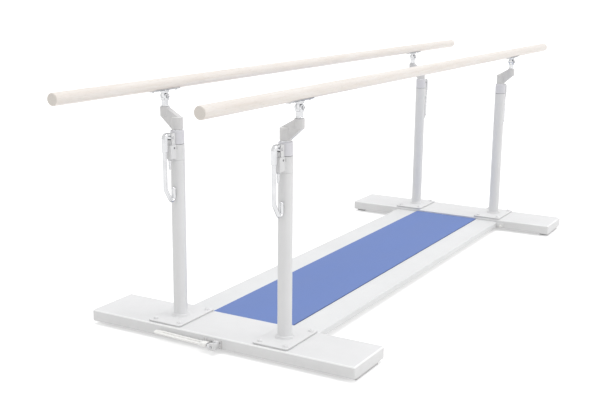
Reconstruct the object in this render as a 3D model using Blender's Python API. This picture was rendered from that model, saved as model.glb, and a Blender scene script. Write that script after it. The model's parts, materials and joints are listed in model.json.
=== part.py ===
"""Parallel walking bars for gait training, in metres, +Z up, origin on the floor.

Two round wooden handrails stand on four telescopic posts. A crank arm and a swivel
head carry each rail on its posts, so the rails rise, and move apart or together.
The posts stand on two steel cross beams, which a low board with a mat joins.
X runs along the beams and Y along the rails; the front end is at -Y.
"""
import math

import bmesh
import bpy
from mathutils import Matrix, Vector

# Clearance between pieces that touch
CLEARANCE = 0.0003

# Handrails
RAIL_LENGTH = 3.000
RAIL_DIAMETER = 0.038
RAIL_AXIS_HEIGHT = 0.826
RAIL_END_ROUND = 0.004

# Places of the posts
POST_X = 0.202
POST_Y = 0.992

# Cross beams, folded trays that are open below
BEAM_LENGTH = 1.000
BEAM_WIDTH = 0.205
BEAM_HEIGHT = 0.040
BEAM_Y = 0.990
BEAM_SHEET = 0.0025
BEAM_LIP = 0.022
BEAM_EDGE_ROUND = 0.005

# Floor pads under the beam ends
PAD_HEIGHT = 0.012
PAD_LENGTH = 0.040
PAD_WIDTH = 0.150
PAD_INSET = 0.006
PAD_CHAMFER = 0.002

# Board between the beams, and its mat
BOARD_WIDTH = 0.512
BOARD_THICKNESS = 0.023
BOARD_STEP = 0.011
BOARD_EDGE_ROUND = 0.002
TAB_WIDTH = 0.033
TAB_HEIGHT = 0.023
TAB_DROP = 0.0035
TAB_THICKNESS = 0.005
TAB_OVERLAP = 0.004
MAT_WIDTH = 0.306
MAT_THICKNESS = 0.003
MAT_END_GAP = 0.002
MAT_EDGE = 0.001

# Posts: base plate, foot ring and outer tube in one weldment
PLATE_WIDTH = 0.128
PLATE_LENGTH = 0.198
PLATE_THICKNESS = 0.006
PLATE_CORNER = 0.008
PLATE_EDGE_ROUND = 0.0012
FOOT_RING_DIAMETER = 0.057
FOOT_RING_HEIGHT = 0.007
FOOT_RING_CHAMFER = 0.002
TUBE_DIAMETER = 0.046
TUBE_WALL = 0.0026

# Telescopic inner tube
INNER_DIAMETER = 0.034
INNER_WALL = 0.0025
INNER_LENGTH = 0.4934
INNER_PLUG = 0.012
SPINDLE_DIAMETER = 0.016
SPINDLE_LENGTH = 0.026
SPINDLE_CHAMFER = 0.001
LIFT_TRAVEL = 0.300

# Lock housing on top of the outer tube
HOUSING_HEIGHT = 0.051
HOUSING_SPIGOT = 0.040
BLOCK_WIDTH = 0.019
BLOCK_REACH = 0.048
BLOCK_CORNER = 0.004
BLOCK_RISE = 0.006
LUG_REACH = 0.0435
LUG_HEIGHT = 0.0375
LUG_CORNER = 0.006
LUG_SLOT_ROOM = 0.001
STUD_DIAMETER = 0.0095
STUD_TIP_DIAMETER = 0.007
STUD_LENGTH = 0.028
STUD_TAPER = 0.012
STUD_REACH = 0.0425

# Guide collar round the inner tube
COLLAR_DIAMETER = 0.0452
COLLAR_HEIGHT = 0.043
COLLAR_ROUND = 0.002

# Clamp shoe inside the housing's block
SHOE_DIAMETER = 0.009
SHOE_DROP = 0.025
SHOE_HEAD_DIAMETER = 0.007
SHOE_HEAD_LENGTH = 0.006
SHOE_RECESS = 0.004

# Release lever on the lug's pin: a curved shank with a round handle, hooked at its end
LEVER_PIVOT_REACH = 0.037
LEVER_PIVOT_RISE = 0.025
PIN_DIAMETER = 0.007
PIN_END = 0.003
PIN_HEAD_DIAMETER = 0.0095
PIN_HEAD_HEIGHT = 0.002
LEVER_WIDTH = 0.014
LEVER_HUB_DIAMETER = 0.015
LEVER_EDGE = 0.001
SHANK_FRONT = 0.038
SHANK_DEPTH = 0.015
SHANK_TOP = 0.015
SHANK_THICKNESS = 0.0075
SHANK_DROP = 0.044
SHANK_OUTER_ROUND = 0.018
SHANK_INNER_ROUND = 0.0095
HANDLE_DIAMETER = 0.0135
HANDLE_BEND_DROP = 0.165
HANDLE_BEND_RADIUS = 0.020
HOOK_RETURN = 0.036
HOOK_DROP = 0.228
HOOK_SIDE = 0.005
HOOK_TIP_DROP = 0.161

# Crank arm between the inner tube and the swivel
ARM_OFFSET = 0.047
ARM_LOWER_WIDTH = 0.038
ARM_UPPER_WIDTH = 0.032
ARM_WEB_WIDTH = 0.021
ARM_GAP = 0.0037
ARM_LOWER_HEIGHT = 0.0395
ARM_UPPER_HEIGHT = 0.0315
ARM_OVERLAP = 0.0012
ARM_WEB_STEP = 0.0006
ARM_FOOT_REACH = 0.0158
ARM_HEAD_REACH = 0.0118
ARM_HEAD_BACK = 0.008
ARM_FOOT_BACK = 0.013
ARM_FOOT_DEPTH = 0.010

# Swivel fork on the arm
STEM_DIAMETER = 0.0205
STEM_HEIGHT = 0.0205
FOOT_DIAMETER = 0.023
FOOT_HEIGHT = 0.005
FORK_SPINDLE_DIAMETER = 0.012
FORK_SPINDLE_LENGTH = 0.024
FORK_WIDTH = 0.023
FORK_DEPTH = 0.021
FORK_RISE = 0.012
FORK_SLOT = 0.0096
FORK_ROOT = 0.006

# Pivot bolt through the fork and the saddle's tongue
PIVOT_BELOW_RAIL = 0.040
BOLT_DIAMETER = 0.008
BOLT_HEAD_DIAMETER = 0.0125
BOLT_HEAD_HEIGHT = 0.0045
BOLT_HEAD_RIM = 0.003

# Saddle under the rail
SADDLE_LENGTH = 0.150
SADDLE_WIDTH = 0.030
SADDLE_WALL = 0.0028
TONGUE_RADIUS = 0.0095
HUB_SIZE = 0.021
HUB_HEIGHT = 0.0065

# Gas spring inside each post
SPRING_DIAMETER = 0.022
SPRING_WALL = 0.002
SPRING_LENGTH = 0.3511
SPRING_GLAND = 0.010
ROD_DIAMETER = 0.008
ROD_FOOT_DIAMETER = 0.020
ROD_FOOT_HEIGHT = 0.008
PISTON_LENGTH = 0.014
PISTON_END_GAP = 0.012

# Base lever on the front beam's outer face
BASE_PIVOT_X = 0.012
BASE_BRACKET_WIDTH = 0.016
BASE_BRACKET_REACH = 0.034
BASE_BRACKET_HEIGHT = 0.024
BASE_BRACKET_PLATE_WIDTH = 0.040
BASE_BRACKET_PLATE = 0.004
BASE_PLATE_HEIGHT = 0.028
BASE_WEB = 0.004
BASE_PIVOT_HEIGHT = 0.029
BASE_PIVOT_REACH = 0.019
BASE_ROOT_WIDTH = 0.014
BASE_ROOT_DIAMETER = 0.015
BASE_NECK_HEIGHT = 0.010
BASE_FERRULE_START = 0.022
BASE_FERRULE_LENGTH = 0.022
BASE_FERRULE_WIDTH = 0.025
BASE_FERRULE_HEIGHT = 0.0115
BASE_LOOP_HALF_WIDTH = 0.008
BASE_LOOP_STRAIGHT = 0.200
BASE_LOOP_LENGTH = 0.228
BASE_LOOP_RISE = 0.004
BASE_TIP_HALF_WIDTH = 0.005
BASE_BEND_RADIUS = 0.010
BASE_WIRE_DIAMETER = 0.008

# Fineness of round shapes
TUBE_SIDES = 24
RAIL_SIDES = 32
SMALL_SIDES = 16
BORE_SIDES = 12
WIRE_SIDES = 8
BEND_STEPS = 3
END_STEPS = 6
SMOOTH_ANGLE = math.radians(35)

# Levels that follow from the sizes above
FORK_PIVOT_HEIGHT = RAIL_AXIS_HEIGHT - PIVOT_BELOW_RAIL
STEM_TOP = FORK_PIVOT_HEIGHT - FORK_RISE
ARM_UPPER_TOP = STEM_TOP - STEM_HEIGHT
ARM_UPPER_BOTTOM = ARM_UPPER_TOP - ARM_UPPER_HEIGHT
ARM_LOWER_TOP = ARM_UPPER_BOTTOM + ARM_OVERLAP
ARM_BOTTOM = ARM_LOWER_TOP - ARM_LOWER_HEIGHT
COLLAR_TOP = ARM_BOTTOM - ARM_GAP
HOUSING_TOP = COLLAR_TOP - COLLAR_HEIGHT
LUG_TOP = HOUSING_TOP + LUG_HEIGHT
LEVER_PIVOT_HEIGHT = HOUSING_TOP + LEVER_PIVOT_RISE
SHOE_HEIGHT = HOUSING_TOP - SHOE_DROP
TUBE_TOP = HOUSING_TOP - HOUSING_HEIGHT
BEAM_TOP = PAD_HEIGHT + BEAM_HEIGHT
BEAM_INNER_Y = BEAM_Y - BEAM_WIDTH / 2
BEAM_OUTER_Y = BEAM_Y + BEAM_WIDTH / 2
BOARD_TOP = BEAM_TOP - BOARD_STEP
BOARD_BOTTOM = BOARD_TOP - BOARD_THICKNESS
BOARD_LENGTH = 2 * (BEAM_INNER_Y - CLEARANCE)
PLATE_BOTTOM = BEAM_TOP + CLEARANCE
PLATE_TOP = PLATE_BOTTOM + PLATE_THICKNESS
TUBE_RADIUS = TUBE_DIAMETER / 2
TUBE_BORE_RADIUS = TUBE_RADIUS - TUBE_WALL
INNER_RADIUS = INNER_DIAMETER / 2
GUIDE_BORE_RADIUS = INNER_RADIUS + CLEARANCE
HOUSING_BOTTOM = TUBE_TOP + CLEARANCE
COLLAR_BOTTOM = HOUSING_TOP + CLEARANCE
INNER_TOP = ARM_BOTTOM - CLEARANCE
INNER_BOTTOM = INNER_TOP - INNER_LENGTH
STEM_BOTTOM = ARM_UPPER_TOP + CLEARANCE
RAIL_RADIUS = RAIL_DIAMETER / 2
SADDLE_TOP_RADIUS = RAIL_RADIUS + CLEARANCE
SADDLE_BOTTOM_RADIUS = SADDLE_TOP_RADIUS + SADDLE_WALL
SADDLE_BOTTOM = RAIL_AXIS_HEIGHT - SADDLE_BOTTOM_RADIUS
ROD_BOTTOM = PLATE_TOP + CLEARANCE
SPRING_TOP = INNER_TOP - INNER_PLUG - CLEARANCE
SPRING_BOTTOM = SPRING_TOP - SPRING_LENGTH

# Overlap with which shapes of one weldment run into each other
WELD = 0.001
LUG_OVERLAP = 0.003

# Share of a wire's straight that its bend may take, and of an edge's round at its rim
LONGEST_BEND = 0.49
ROUND_SHARE = 0.98


def material(name, color, roughness, metallic=0.0):
    """A Principled material of one plain colour."""
    result = bpy.data.materials.new(name)
    result.use_nodes = True
    shader = result.node_tree.nodes["Principled BSDF"]
    shader.inputs["Base Color"].default_value = (*color, 1.0)
    shader.inputs["Roughness"].default_value = roughness
    shader.inputs["Metallic"].default_value = metallic
    result.diffuse_color = (*color, 1.0)
    return result


def turned(profile, sides):
    """A closed (radius, z) profile turned about Z; radius 0 gives a pole."""
    shape = bmesh.new()
    rings = []
    for radius, height in profile:
        if radius == 0:
            rings.append([shape.verts.new((0, 0, height))])
            continue
        angles = (2 * math.pi * i / sides for i in range(sides))
        rings.append([shape.verts.new((radius * math.cos(a), radius * math.sin(a), height))
                      for a in angles])
    for low, high in zip(rings, rings[1:] + rings[:1]):
        if len(low) == 1 and len(high) == 1:
            continue
        for i in range(sides):
            j = (i + 1) % sides
            corners = [low[i % len(low)], low[j % len(low)], high[j % len(high)], high[i % len(high)]]
            shape.faces.new(list(dict.fromkeys(corners)))
    bmesh.ops.recalc_face_normals(shape, faces=shape.faces)
    return shape


def cylinder(radius, low, high, sides=SMALL_SIDES, chamfer=0.0):
    """A solid cylinder about Z with chamfered ends."""
    profile = [(0, low), (radius, low), (radius, high), (0, high)]
    if chamfer:
        profile = [(0, low), (radius - chamfer, low), (radius, low + chamfer),
                   (radius, high - chamfer), (radius - chamfer, high), (0, high)]
    return turned(profile, sides)


def extruded(outline, low, high):
    """A flat (x, y) outline extruded along Z."""
    shape = bmesh.new()
    bottom = [shape.verts.new((x, y, low)) for x, y in outline]
    top = [shape.verts.new((x, y, high)) for x, y in outline]
    shape.faces.new(bottom)
    shape.faces.new(top)
    for i in range(len(outline)):
        j = (i + 1) % len(outline)
        shape.faces.new((bottom[i], bottom[j], top[j], top[i]))
    bmesh.ops.recalc_face_normals(shape, faces=shape.faces)
    return shape


def arc(center, radius, start, end, steps):
    """Points of an arc, with the angles in degrees."""
    angles = (math.radians(start + (end - start) * i / steps) for i in range(steps + 1))
    return [(center[0] + radius * math.cos(a), center[1] + radius * math.sin(a)) for a in angles]


def rounded_rectangle(width, length, radius, steps=3):
    """Outline of a rectangle about the origin with round corners."""
    x, y = width / 2 - radius, length / 2 - radius
    corners = ((x, y, 0), (-x, y, 90), (-x, -y, 180), (x, -y, 270))
    return [p for cx, cy, start in corners for p in arc((cx, cy), radius, start, start + 90, steps)]


def box(x, y, z):
    """A box between (low, high) pairs."""
    return extruded([(x[0], y[0]), (x[1], y[0]), (x[1], y[1]), (x[0], y[1])], *z)


def softened(shape, width, height, segments=2):
    """Bevels the flat outline edges that lie at one height."""
    edges = [e for e in shape.edges if all(abs(v.co.z - height) < 1e-6 for v in e.verts)]
    bmesh.ops.bevel(shape, geom=edges, offset=width, segments=segments, profile=0.5,
                    affect="EDGES", clamp_overlap=True)
    return shape


def moved(shape, offset=(0, 0, 0), turn=0.0, axis="Z"):
    """The shape turned about an axis by an angle in degrees, then moved."""
    matrix = Matrix.Translation(offset) @ Matrix.Rotation(math.radians(turn), 4, axis)
    bmesh.ops.transform(shape, matrix=matrix, verts=shape.verts)
    return shape


def upright(shape):
    """Turns a shape so that its outline lies in Y and Z, and its depth along X."""
    matrix = Matrix(((0, 0, 1, 0), (1, 0, 0, 0), (0, 1, 0, 0), (0, 0, 0, 1)))
    bmesh.ops.transform(shape, matrix=matrix, verts=shape.verts)
    return shape


def bent_wire(corners, bend_radius, diameter, sides):
    """A round wire through the corners, each of them bent to the radius where it fits."""
    points = [Vector(c) for c in corners]
    path = [points[0]]
    for before, corner, after in zip(points, points[1:], points[2:]):
        to_before, to_after = before - corner, after - corner
        half = to_before.angle(to_after) / 2
        longest = LONGEST_BEND * min(to_before.length, to_after.length)
        reach = min(bend_radius / math.tan(half), longest)
        center_distance = reach / math.cos(half)
        bisector = (to_before.normalized() + to_after.normalized()).normalized()
        center = corner + bisector * center_distance
        start = corner + to_before.normalized() * reach - center
        end = corner + to_after.normalized() * reach - center
        sweep = start.angle(end)
        for i in range(BEND_STEPS + 1):
            share = i / BEND_STEPS
            weight_start = math.sin((1 - share) * sweep) / math.sin(sweep)
            weight_end = math.sin(share * sweep) / math.sin(sweep)
            path.append(center + start * weight_start + end * weight_end)
    path.append(points[-1])
    return swept(path, diameter / 2, sides)


def swept(path, radius, sides):
    """A closed round tube along a path of points."""
    shape = bmesh.new()
    tangents = [(b - a).normalized() for a, b in zip(path, path[1:])]
    tangents = [tangents[0]] + [(a + b).normalized() for a, b in zip(tangents, tangents[1:])] \
        + [tangents[-1]]
    side = tangents[0].orthogonal().normalized()
    rings = []
    for point, tangent in zip(path, tangents):
        side = (side - tangent * side.dot(tangent)).normalized()
        other = tangent.cross(side)
        angles = (2 * math.pi * i / sides for i in range(sides))
        rings.append([shape.verts.new(point + radius * (side * math.cos(a) + other * math.sin(a)))
                      for a in angles])
    for low, high in zip(rings, rings[1:]):
        for i in range(sides):
            j = (i + 1) % sides
            shape.faces.new((low[i], low[j], high[j], high[i]))
    shape.faces.new(rings[0])
    shape.faces.new(rings[-1])
    bmesh.ops.recalc_face_normals(shape, faces=shape.faces)
    return shape


def temporary(shape, name):
    """A hidden object that holds a shape while pieces are joined or cut."""
    mesh = bpy.data.meshes.new(name)
    shape.to_mesh(mesh)
    shape.free()
    helper = bpy.data.objects.new(name, mesh)
    helper.hide_render = True
    helper.display_type = "WIRE"
    bpy.context.scene.collection.objects.link(helper)
    return helper


def finished(name, base, steps=()):
    """Mesh of the base shape after its (operation, shape) steps."""
    helpers = [temporary(base, name)]
    for number, (operation, shape) in enumerate(steps):
        tool = temporary(shape, f"{name}_tool_{number}")
        helpers.append(tool)
        modifier = helpers[0].modifiers.new(f"step_{number}", "BOOLEAN")
        modifier.operation = operation
        modifier.object = tool
        modifier.solver = "EXACT"
    depsgraph = bpy.context.evaluated_depsgraph_get()
    mesh = bpy.data.meshes.new_from_object(helpers[0].evaluated_get(depsgraph))
    mesh.name = name
    for helper in helpers:
        helper_mesh = helper.data
        bpy.data.objects.remove(helper)
        bpy.data.meshes.remove(helper_mesh)
    mesh.shade_smooth()
    mesh.set_sharp_from_angle(angle=SMOOTH_ANGLE)
    return mesh


def place(name, mesh, finish, location=(0, 0, 0), turn=0.0, parent=None):
    """An object of the mesh, turned about Z by degrees, under a parent."""
    piece = bpy.data.objects.new(name, mesh)
    piece.location = location
    piece.rotation_euler = (0, 0, math.radians(turn))
    piece.parent = parent
    if not mesh.materials:
        mesh.materials.append(finish)
    bpy.context.scene.collection.objects.link(piece)
    return piece


def axis_point(name, location, turn=0.0, parent=None):
    """An empty on a joint's axis, which carries what the joint moves."""
    empty = bpy.data.objects.new(name, None)
    empty.location = location
    empty.rotation_euler = (0, 0, math.radians(turn))
    empty.empty_display_size = 0.05
    empty.parent = parent
    bpy.context.scene.collection.objects.link(empty)
    return empty


def beam_mesh():
    """An upside-down tray with rounded edges and a lip turned in all round."""
    outer = extruded(rounded_rectangle(BEAM_LENGTH, BEAM_WIDTH, BEAM_EDGE_ROUND),
                     PAD_HEIGHT + CLEARANCE, BEAM_TOP)
    softened(outer, BEAM_EDGE_ROUND * ROUND_SHARE, BEAM_TOP)
    x, y = BEAM_LENGTH / 2 - BEAM_SHEET, BEAM_WIDTH / 2 - BEAM_SHEET
    lip_top = PAD_HEIGHT + CLEARANCE + BEAM_SHEET
    hollow = box((-x, x), (-y, y), (lip_top, BEAM_TOP - BEAM_SHEET))
    mouth = box((BEAM_LIP - x, x - BEAM_LIP), (BEAM_LIP - y, y - BEAM_LIP), (0, lip_top + WELD))
    return finished("beam", outer, [("DIFFERENCE", hollow), ("DIFFERENCE", mouth)])


def pad_mesh():
    """A rubber strip with its lower edges chamfered."""
    shape = extruded(rounded_rectangle(PAD_LENGTH, PAD_WIDTH, PAD_CHAMFER * 2, 2), 0, PAD_HEIGHT)
    return finished("floor_pad", softened(shape, PAD_CHAMFER, 0, 1))


def board_mesh():
    """The board with a bolting tab outside each of its corners."""
    half_width, half_length = BOARD_WIDTH / 2, BOARD_LENGTH / 2
    shape = box((-half_width, half_width), (-half_length, half_length), (BOARD_BOTTOM, BOARD_TOP))
    softened(shape, BOARD_EDGE_ROUND, BOARD_TOP)
    tabs = []
    for x_side in (-1, 1):
        x_range = sorted((x_side * (half_width - TAB_OVERLAP), x_side * (half_width + TAB_WIDTH)))
        for y_side in (-1, 1):
            y_range = sorted((y_side * half_length, y_side * (half_length - TAB_THICKNESS)))
            tab = box(x_range, y_range, (BOARD_BOTTOM - TAB_DROP, BOARD_BOTTOM - TAB_DROP + TAB_HEIGHT))
            tabs.append(("UNION", tab))
    return finished("board", shape, tabs)


def mat_mesh():
    """The thin mat on the board."""
    length = BOARD_LENGTH - 2 * MAT_END_GAP
    low = BOARD_TOP + CLEARANCE
    shape = box((-MAT_WIDTH / 2, MAT_WIDTH / 2), (-length / 2, length / 2), (low, low + MAT_THICKNESS))
    return finished("mat", softened(shape, MAT_EDGE, low + MAT_THICKNESS, 1))


def post_mesh():
    """Base plate, foot ring and outer tube, welded; the outer side faces -Y."""
    plate = extruded(rounded_rectangle(PLATE_WIDTH, PLATE_LENGTH, PLATE_CORNER),
                     PLATE_BOTTOM, PLATE_TOP)
    softened(plate, PLATE_EDGE_ROUND, PLATE_TOP, 1)
    moved(plate, (0, POST_Y - BEAM_INNER_Y - PLATE_LENGTH / 2, 0))
    ring_radius, ring_top = FOOT_RING_DIAMETER / 2, PLATE_TOP + FOOT_RING_HEIGHT
    sunk = PLATE_TOP - WELD
    tube = turned([(TUBE_BORE_RADIUS, sunk), (ring_radius, sunk),
                   (ring_radius, ring_top - FOOT_RING_CHAMFER),
                   (ring_radius - FOOT_RING_CHAMFER, ring_top), (TUBE_RADIUS, ring_top),
                   (TUBE_RADIUS, TUBE_TOP), (TUBE_BORE_RADIUS, TUBE_TOP)], TUBE_SIDES)
    return finished("post", plate, [("UNION", tube)])


def inner_tube_mesh():
    """The sliding tube, with a closed top that carries the arm's spindle."""
    bore, plug_bottom = INNER_RADIUS - INNER_WALL, INNER_TOP - INNER_PLUG
    spindle, spindle_top = SPINDLE_DIAMETER / 2, INNER_TOP + SPINDLE_LENGTH
    profile = [(bore, INNER_BOTTOM), (INNER_RADIUS, INNER_BOTTOM), (INNER_RADIUS, INNER_TOP),
               (spindle, INNER_TOP), (spindle, spindle_top - SPINDLE_CHAMFER),
               (spindle - SPINDLE_CHAMFER, spindle_top), (0, spindle_top),
               (0, plug_bottom), (bore, plug_bottom)]
    return finished("inner_tube", turned(profile, TUBE_SIDES))


def housing_mesh():
    """Ring and spigot on the tube, with the block, lug and pin of the lever."""
    spigot = TUBE_BORE_RADIUS - CLEARANCE
    spigot_bottom = HOUSING_BOTTOM - HOUSING_SPIGOT
    ring = turned([(GUIDE_BORE_RADIUS, spigot_bottom), (spigot, spigot_bottom),
                   (spigot, HOUSING_BOTTOM), (TUBE_RADIUS, HOUSING_BOTTOM),
                   (TUBE_RADIUS, HOUSING_TOP), (GUIDE_BORE_RADIUS, HOUSING_TOP)], TUBE_SIDES)
    # The block, square where it joins the ring and round at its outer corners
    half, near = BLOCK_WIDTH / 2, (GUIDE_BORE_RADIUS + TUBE_RADIUS) / 2
    round_y = BLOCK_REACH - BLOCK_CORNER
    outline = [(half, -near), (-half, -near)]
    outline += arc((BLOCK_CORNER - half, -round_y), BLOCK_CORNER, 180, 270, 3)
    outline += arc((half - BLOCK_CORNER, -round_y), BLOCK_CORNER, 270, 360, 3)
    block_bottom = HOUSING_BOTTOM + BLOCK_RISE
    block = extruded(outline, block_bottom, HOUSING_TOP)
    # The lug above it, with the slot and the pin of the lever
    back, bottom = COLLAR_DIAMETER / 2 + CLEARANCE, HOUSING_TOP - LUG_OVERLAP
    outline = [(-LUG_REACH, bottom), (-back, bottom), (-back, LUG_TOP)]
    outline += arc((LUG_CORNER - LUG_REACH, LUG_TOP - LUG_CORNER), LUG_CORNER, 90, 180, 3)
    lug = upright(extruded(outline, -half, half))
    slot_half, room = LEVER_WIDTH / 2 + CLEARANCE, LEVER_HUB_DIAMETER / 2 + LUG_SLOT_ROOM
    slot = box((-slot_half, slot_half), (-BLOCK_REACH, room - LEVER_PIVOT_REACH),
               (LEVER_PIVOT_HEIGHT - room, COLLAR_TOP))
    head, radius = PIN_HEAD_DIAMETER / 2, PIN_DIAMETER / 2
    head_near, head_far = half - WELD, half + PIN_HEAD_HEIGHT
    pin = turned([(0, -head_far), (head, -head_far), (head, -head_near), (radius, -head_near),
                  (radius, head_near), (head, head_near), (head, head_far), (0, head_far)],
                 BORE_SIDES)
    moved(pin, (0, -LEVER_PIVOT_REACH, LEVER_PIVOT_HEIGHT), 90, "Y")
    # The tapered stud under the block's outer end
    stud_bottom, stud_top = HOUSING_BOTTOM - STUD_LENGTH, block_bottom + WELD
    stud = turned([(0, stud_bottom), (STUD_TIP_DIAMETER / 2, stud_bottom),
                   (STUD_DIAMETER / 2, stud_bottom + STUD_TAPER),
                   (STUD_DIAMETER / 2, stud_top), (0, stud_top)], BORE_SIDES)
    moved(stud, (0, -STUD_REACH, 0))
    shoe_bore = cylinder(SHOE_DIAMETER / 2 + CLEARANCE, INNER_RADIUS / 2, BLOCK_REACH + WELD,
                         BORE_SIDES)
    moved(shoe_bore, (0, 0, SHOE_HEIGHT), turn=90, axis="X")
    return finished("lock_housing", ring, [
        ("UNION", block), ("UNION", lug), ("DIFFERENCE", slot), ("UNION", pin),
        ("UNION", stud), ("DIFFERENCE", shoe_bore)])


def collar_mesh():
    """The plastic collar that guides the inner tube above the housing."""
    radius, round_center = COLLAR_DIAMETER / 2, COLLAR_TOP - COLLAR_ROUND
    profile = [(GUIDE_BORE_RADIUS, COLLAR_BOTTOM), (radius, COLLAR_BOTTOM)]
    profile += arc((radius - COLLAR_ROUND, round_center), COLLAR_ROUND, 0, 90, 3)
    profile += [(GUIDE_BORE_RADIUS, COLLAR_TOP)]
    return finished("guide_collar", turned(profile, TUBE_SIDES))


def shoe_mesh():
    """The pin that the lever presses on the inner tube, along -Y at height 0."""
    radius, head_radius = SHOE_DIAMETER / 2, SHOE_HEAD_DIAMETER / 2
    near, far = INNER_RADIUS + CLEARANCE, BLOCK_REACH - SHOE_RECESS
    step = far - SHOE_HEAD_LENGTH
    profile = [(0, near), (radius, near), (radius, step), (head_radius, step),
               (head_radius, far), (0, far)]
    return finished("clamp_shoe", moved(turned(profile, BORE_SIDES), turn=90, axis="X"))


def lever_mesh():
    """The shank and its handle, about the pin's middle, hanging down in front."""
    half, hub_radius = LEVER_WIDTH / 2, LEVER_HUB_DIAMETER / 2
    back = SHANK_FRONT - SHANK_DEPTH
    # Side view of the shank, from the hub over the outer curve and back below it
    outline = [(0, hub_radius - WELD), (hub_radius, SHANK_TOP)]
    outline += arc((SHANK_FRONT - SHANK_OUTER_ROUND, SHANK_TOP - SHANK_OUTER_ROUND),
                   SHANK_OUTER_ROUND, 90, 0, END_STEPS)
    outline += [(SHANK_FRONT, -SHANK_DROP), (back, -SHANK_DROP)]
    outline += arc((back - SHANK_INNER_ROUND, SHANK_TOP - SHANK_THICKNESS - SHANK_INNER_ROUND),
                   SHANK_INNER_ROUND, 0, 90, BEND_STEPS)
    outline += [(hub_radius - 2 * WELD, WELD)]
    shank = extruded([(-out, up) for out, up in outline], -half, half)
    upright(softened(softened(shank, LEVER_EDGE, half, 1), LEVER_EDGE, -half, 1))
    hub = moved(cylinder(hub_radius, -half, half, SMALL_SIDES, LEVER_EDGE), turn=90, axis="Y")
    out = SHANK_DEPTH / 2 - SHANK_FRONT
    handle = bent_wire([(0, out, SHANK_DEPTH - SHANK_DROP), (0, out, -HANDLE_BEND_DROP),
                        (HOOK_SIDE, out + HOOK_RETURN, -HOOK_DROP),
                        (HOOK_SIDE, out + HOOK_RETURN, -HOOK_TIP_DROP)],
                       HANDLE_BEND_RADIUS, HANDLE_DIAMETER, BORE_SIDES)
    bore = cylinder(PIN_DIAMETER / 2 + CLEARANCE, -LEVER_WIDTH, LEVER_WIDTH, BORE_SIDES)
    return finished("release_lever", shank, [
        ("UNION", hub), ("UNION", handle), ("DIFFERENCE", moved(bore, turn=90, axis="Y"))])


def arm_mesh():
    """The crank arm towards +X: an upright eye at each end and a sloping web between them."""
    lower_eye = cylinder(ARM_LOWER_WIDTH / 2, ARM_BOTTOM, ARM_LOWER_TOP)
    upper_eye = moved(cylinder(ARM_UPPER_WIDTH / 2, ARM_UPPER_BOTTOM, ARM_UPPER_TOP), (ARM_OFFSET, 0, 0))
    web = [(ARM_FOOT_REACH, ARM_BOTTOM + ARM_WEB_STEP),
           (ARM_OFFSET + ARM_HEAD_REACH, ARM_UPPER_BOTTOM + ARM_WEB_STEP),
           (ARM_OFFSET + ARM_HEAD_REACH, ARM_UPPER_TOP - ARM_WEB_STEP),
           (ARM_OFFSET - ARM_HEAD_BACK, ARM_UPPER_TOP - ARM_WEB_STEP),
           (-ARM_FOOT_BACK, ARM_LOWER_TOP + ARM_WEB_STEP), (-ARM_FOOT_BACK, ARM_LOWER_TOP - ARM_FOOT_DEPTH)]
    shape = moved(extruded(web, -ARM_WEB_WIDTH / 2, ARM_WEB_WIDTH / 2), turn=90, axis="X")
    lower_bore = cylinder(SPINDLE_DIAMETER / 2 + CLEARANCE, ARM_BOTTOM - WELD,
                          INNER_TOP + SPINDLE_LENGTH + CLEARANCE)
    upper_bore = cylinder(FORK_SPINDLE_DIAMETER / 2 + CLEARANCE,
                          ARM_UPPER_TOP - FORK_SPINDLE_LENGTH - CLEARANCE, ARM_UPPER_TOP + WELD)
    moved(upper_bore, (ARM_OFFSET, 0, 0))
    return finished("crank_arm", shape, [("UNION", lower_eye), ("UNION", upper_eye),
                                         ("DIFFERENCE", lower_bore), ("DIFFERENCE", upper_bore)])


def fork_mesh():
    """Spindle, foot and stem of the swivel, with two cheeks for the pivot bolt."""
    spindle, foot, stem = FORK_SPINDLE_DIAMETER / 2, FOOT_DIAMETER / 2, STEM_DIAMETER / 2
    spindle_bottom = ARM_UPPER_TOP - FORK_SPINDLE_LENGTH
    slope = foot - stem
    foot_top = STEM_BOTTOM + FOOT_HEIGHT
    shape = turned([(0, spindle_bottom), (spindle, spindle_bottom), (spindle, STEM_BOTTOM),
                    (foot, STEM_BOTTOM), (foot, foot_top - slope), (stem, foot_top),
                    (stem, STEM_TOP), (0, STEM_TOP)], SMALL_SIDES)
    radius = FORK_DEPTH / 2
    outline = [(-radius, STEM_TOP - FORK_ROOT), (radius, STEM_TOP - FORK_ROOT)]
    outline += arc((0, FORK_PIVOT_HEIGHT), radius, 0, 180, END_STEPS)
    head = upright(extruded(outline, -FORK_WIDTH / 2, FORK_WIDTH / 2))
    slot_half = FORK_SLOT / 2
    slot_bottom = FORK_PIVOT_HEIGHT - TONGUE_RADIUS - WELD
    slot = box((-slot_half, slot_half), (-FORK_DEPTH, FORK_DEPTH), (slot_bottom, RAIL_AXIS_HEIGHT))
    hole = cross_bore(BOLT_DIAMETER / 2 + CLEARANCE, FORK_WIDTH)
    return finished("swivel_fork", shape, [("UNION", head), ("DIFFERENCE", slot), ("DIFFERENCE", hole)])


def cross_bore(radius, half_length):
    """A cutter along X at the pivot bolt's height."""
    shape = moved(cylinder(radius, -half_length, half_length, BORE_SIDES), turn=90, axis="Y")
    return moved(shape, (0, 0, FORK_PIVOT_HEIGHT))


def bolt_mesh():
    """The pivot bolt along X, with a round head at each end."""
    shank, head = BOLT_DIAMETER / 2, BOLT_HEAD_DIAMETER / 2
    near = FORK_WIDTH / 2 + CLEARANCE
    far, rim = near + BOLT_HEAD_HEIGHT, near + BOLT_HEAD_RIM
    half = [(shank, near), (head, near), (head, rim), (shank, far), (0, far)]
    profile = [(r, -z) for r, z in reversed(half)] + half
    shape = moved(turned(profile, BORE_SIDES), turn=90, axis="Y")
    return finished("pivot_bolt", moved(shape, (0, 0, FORK_PIVOT_HEIGHT)))


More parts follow.
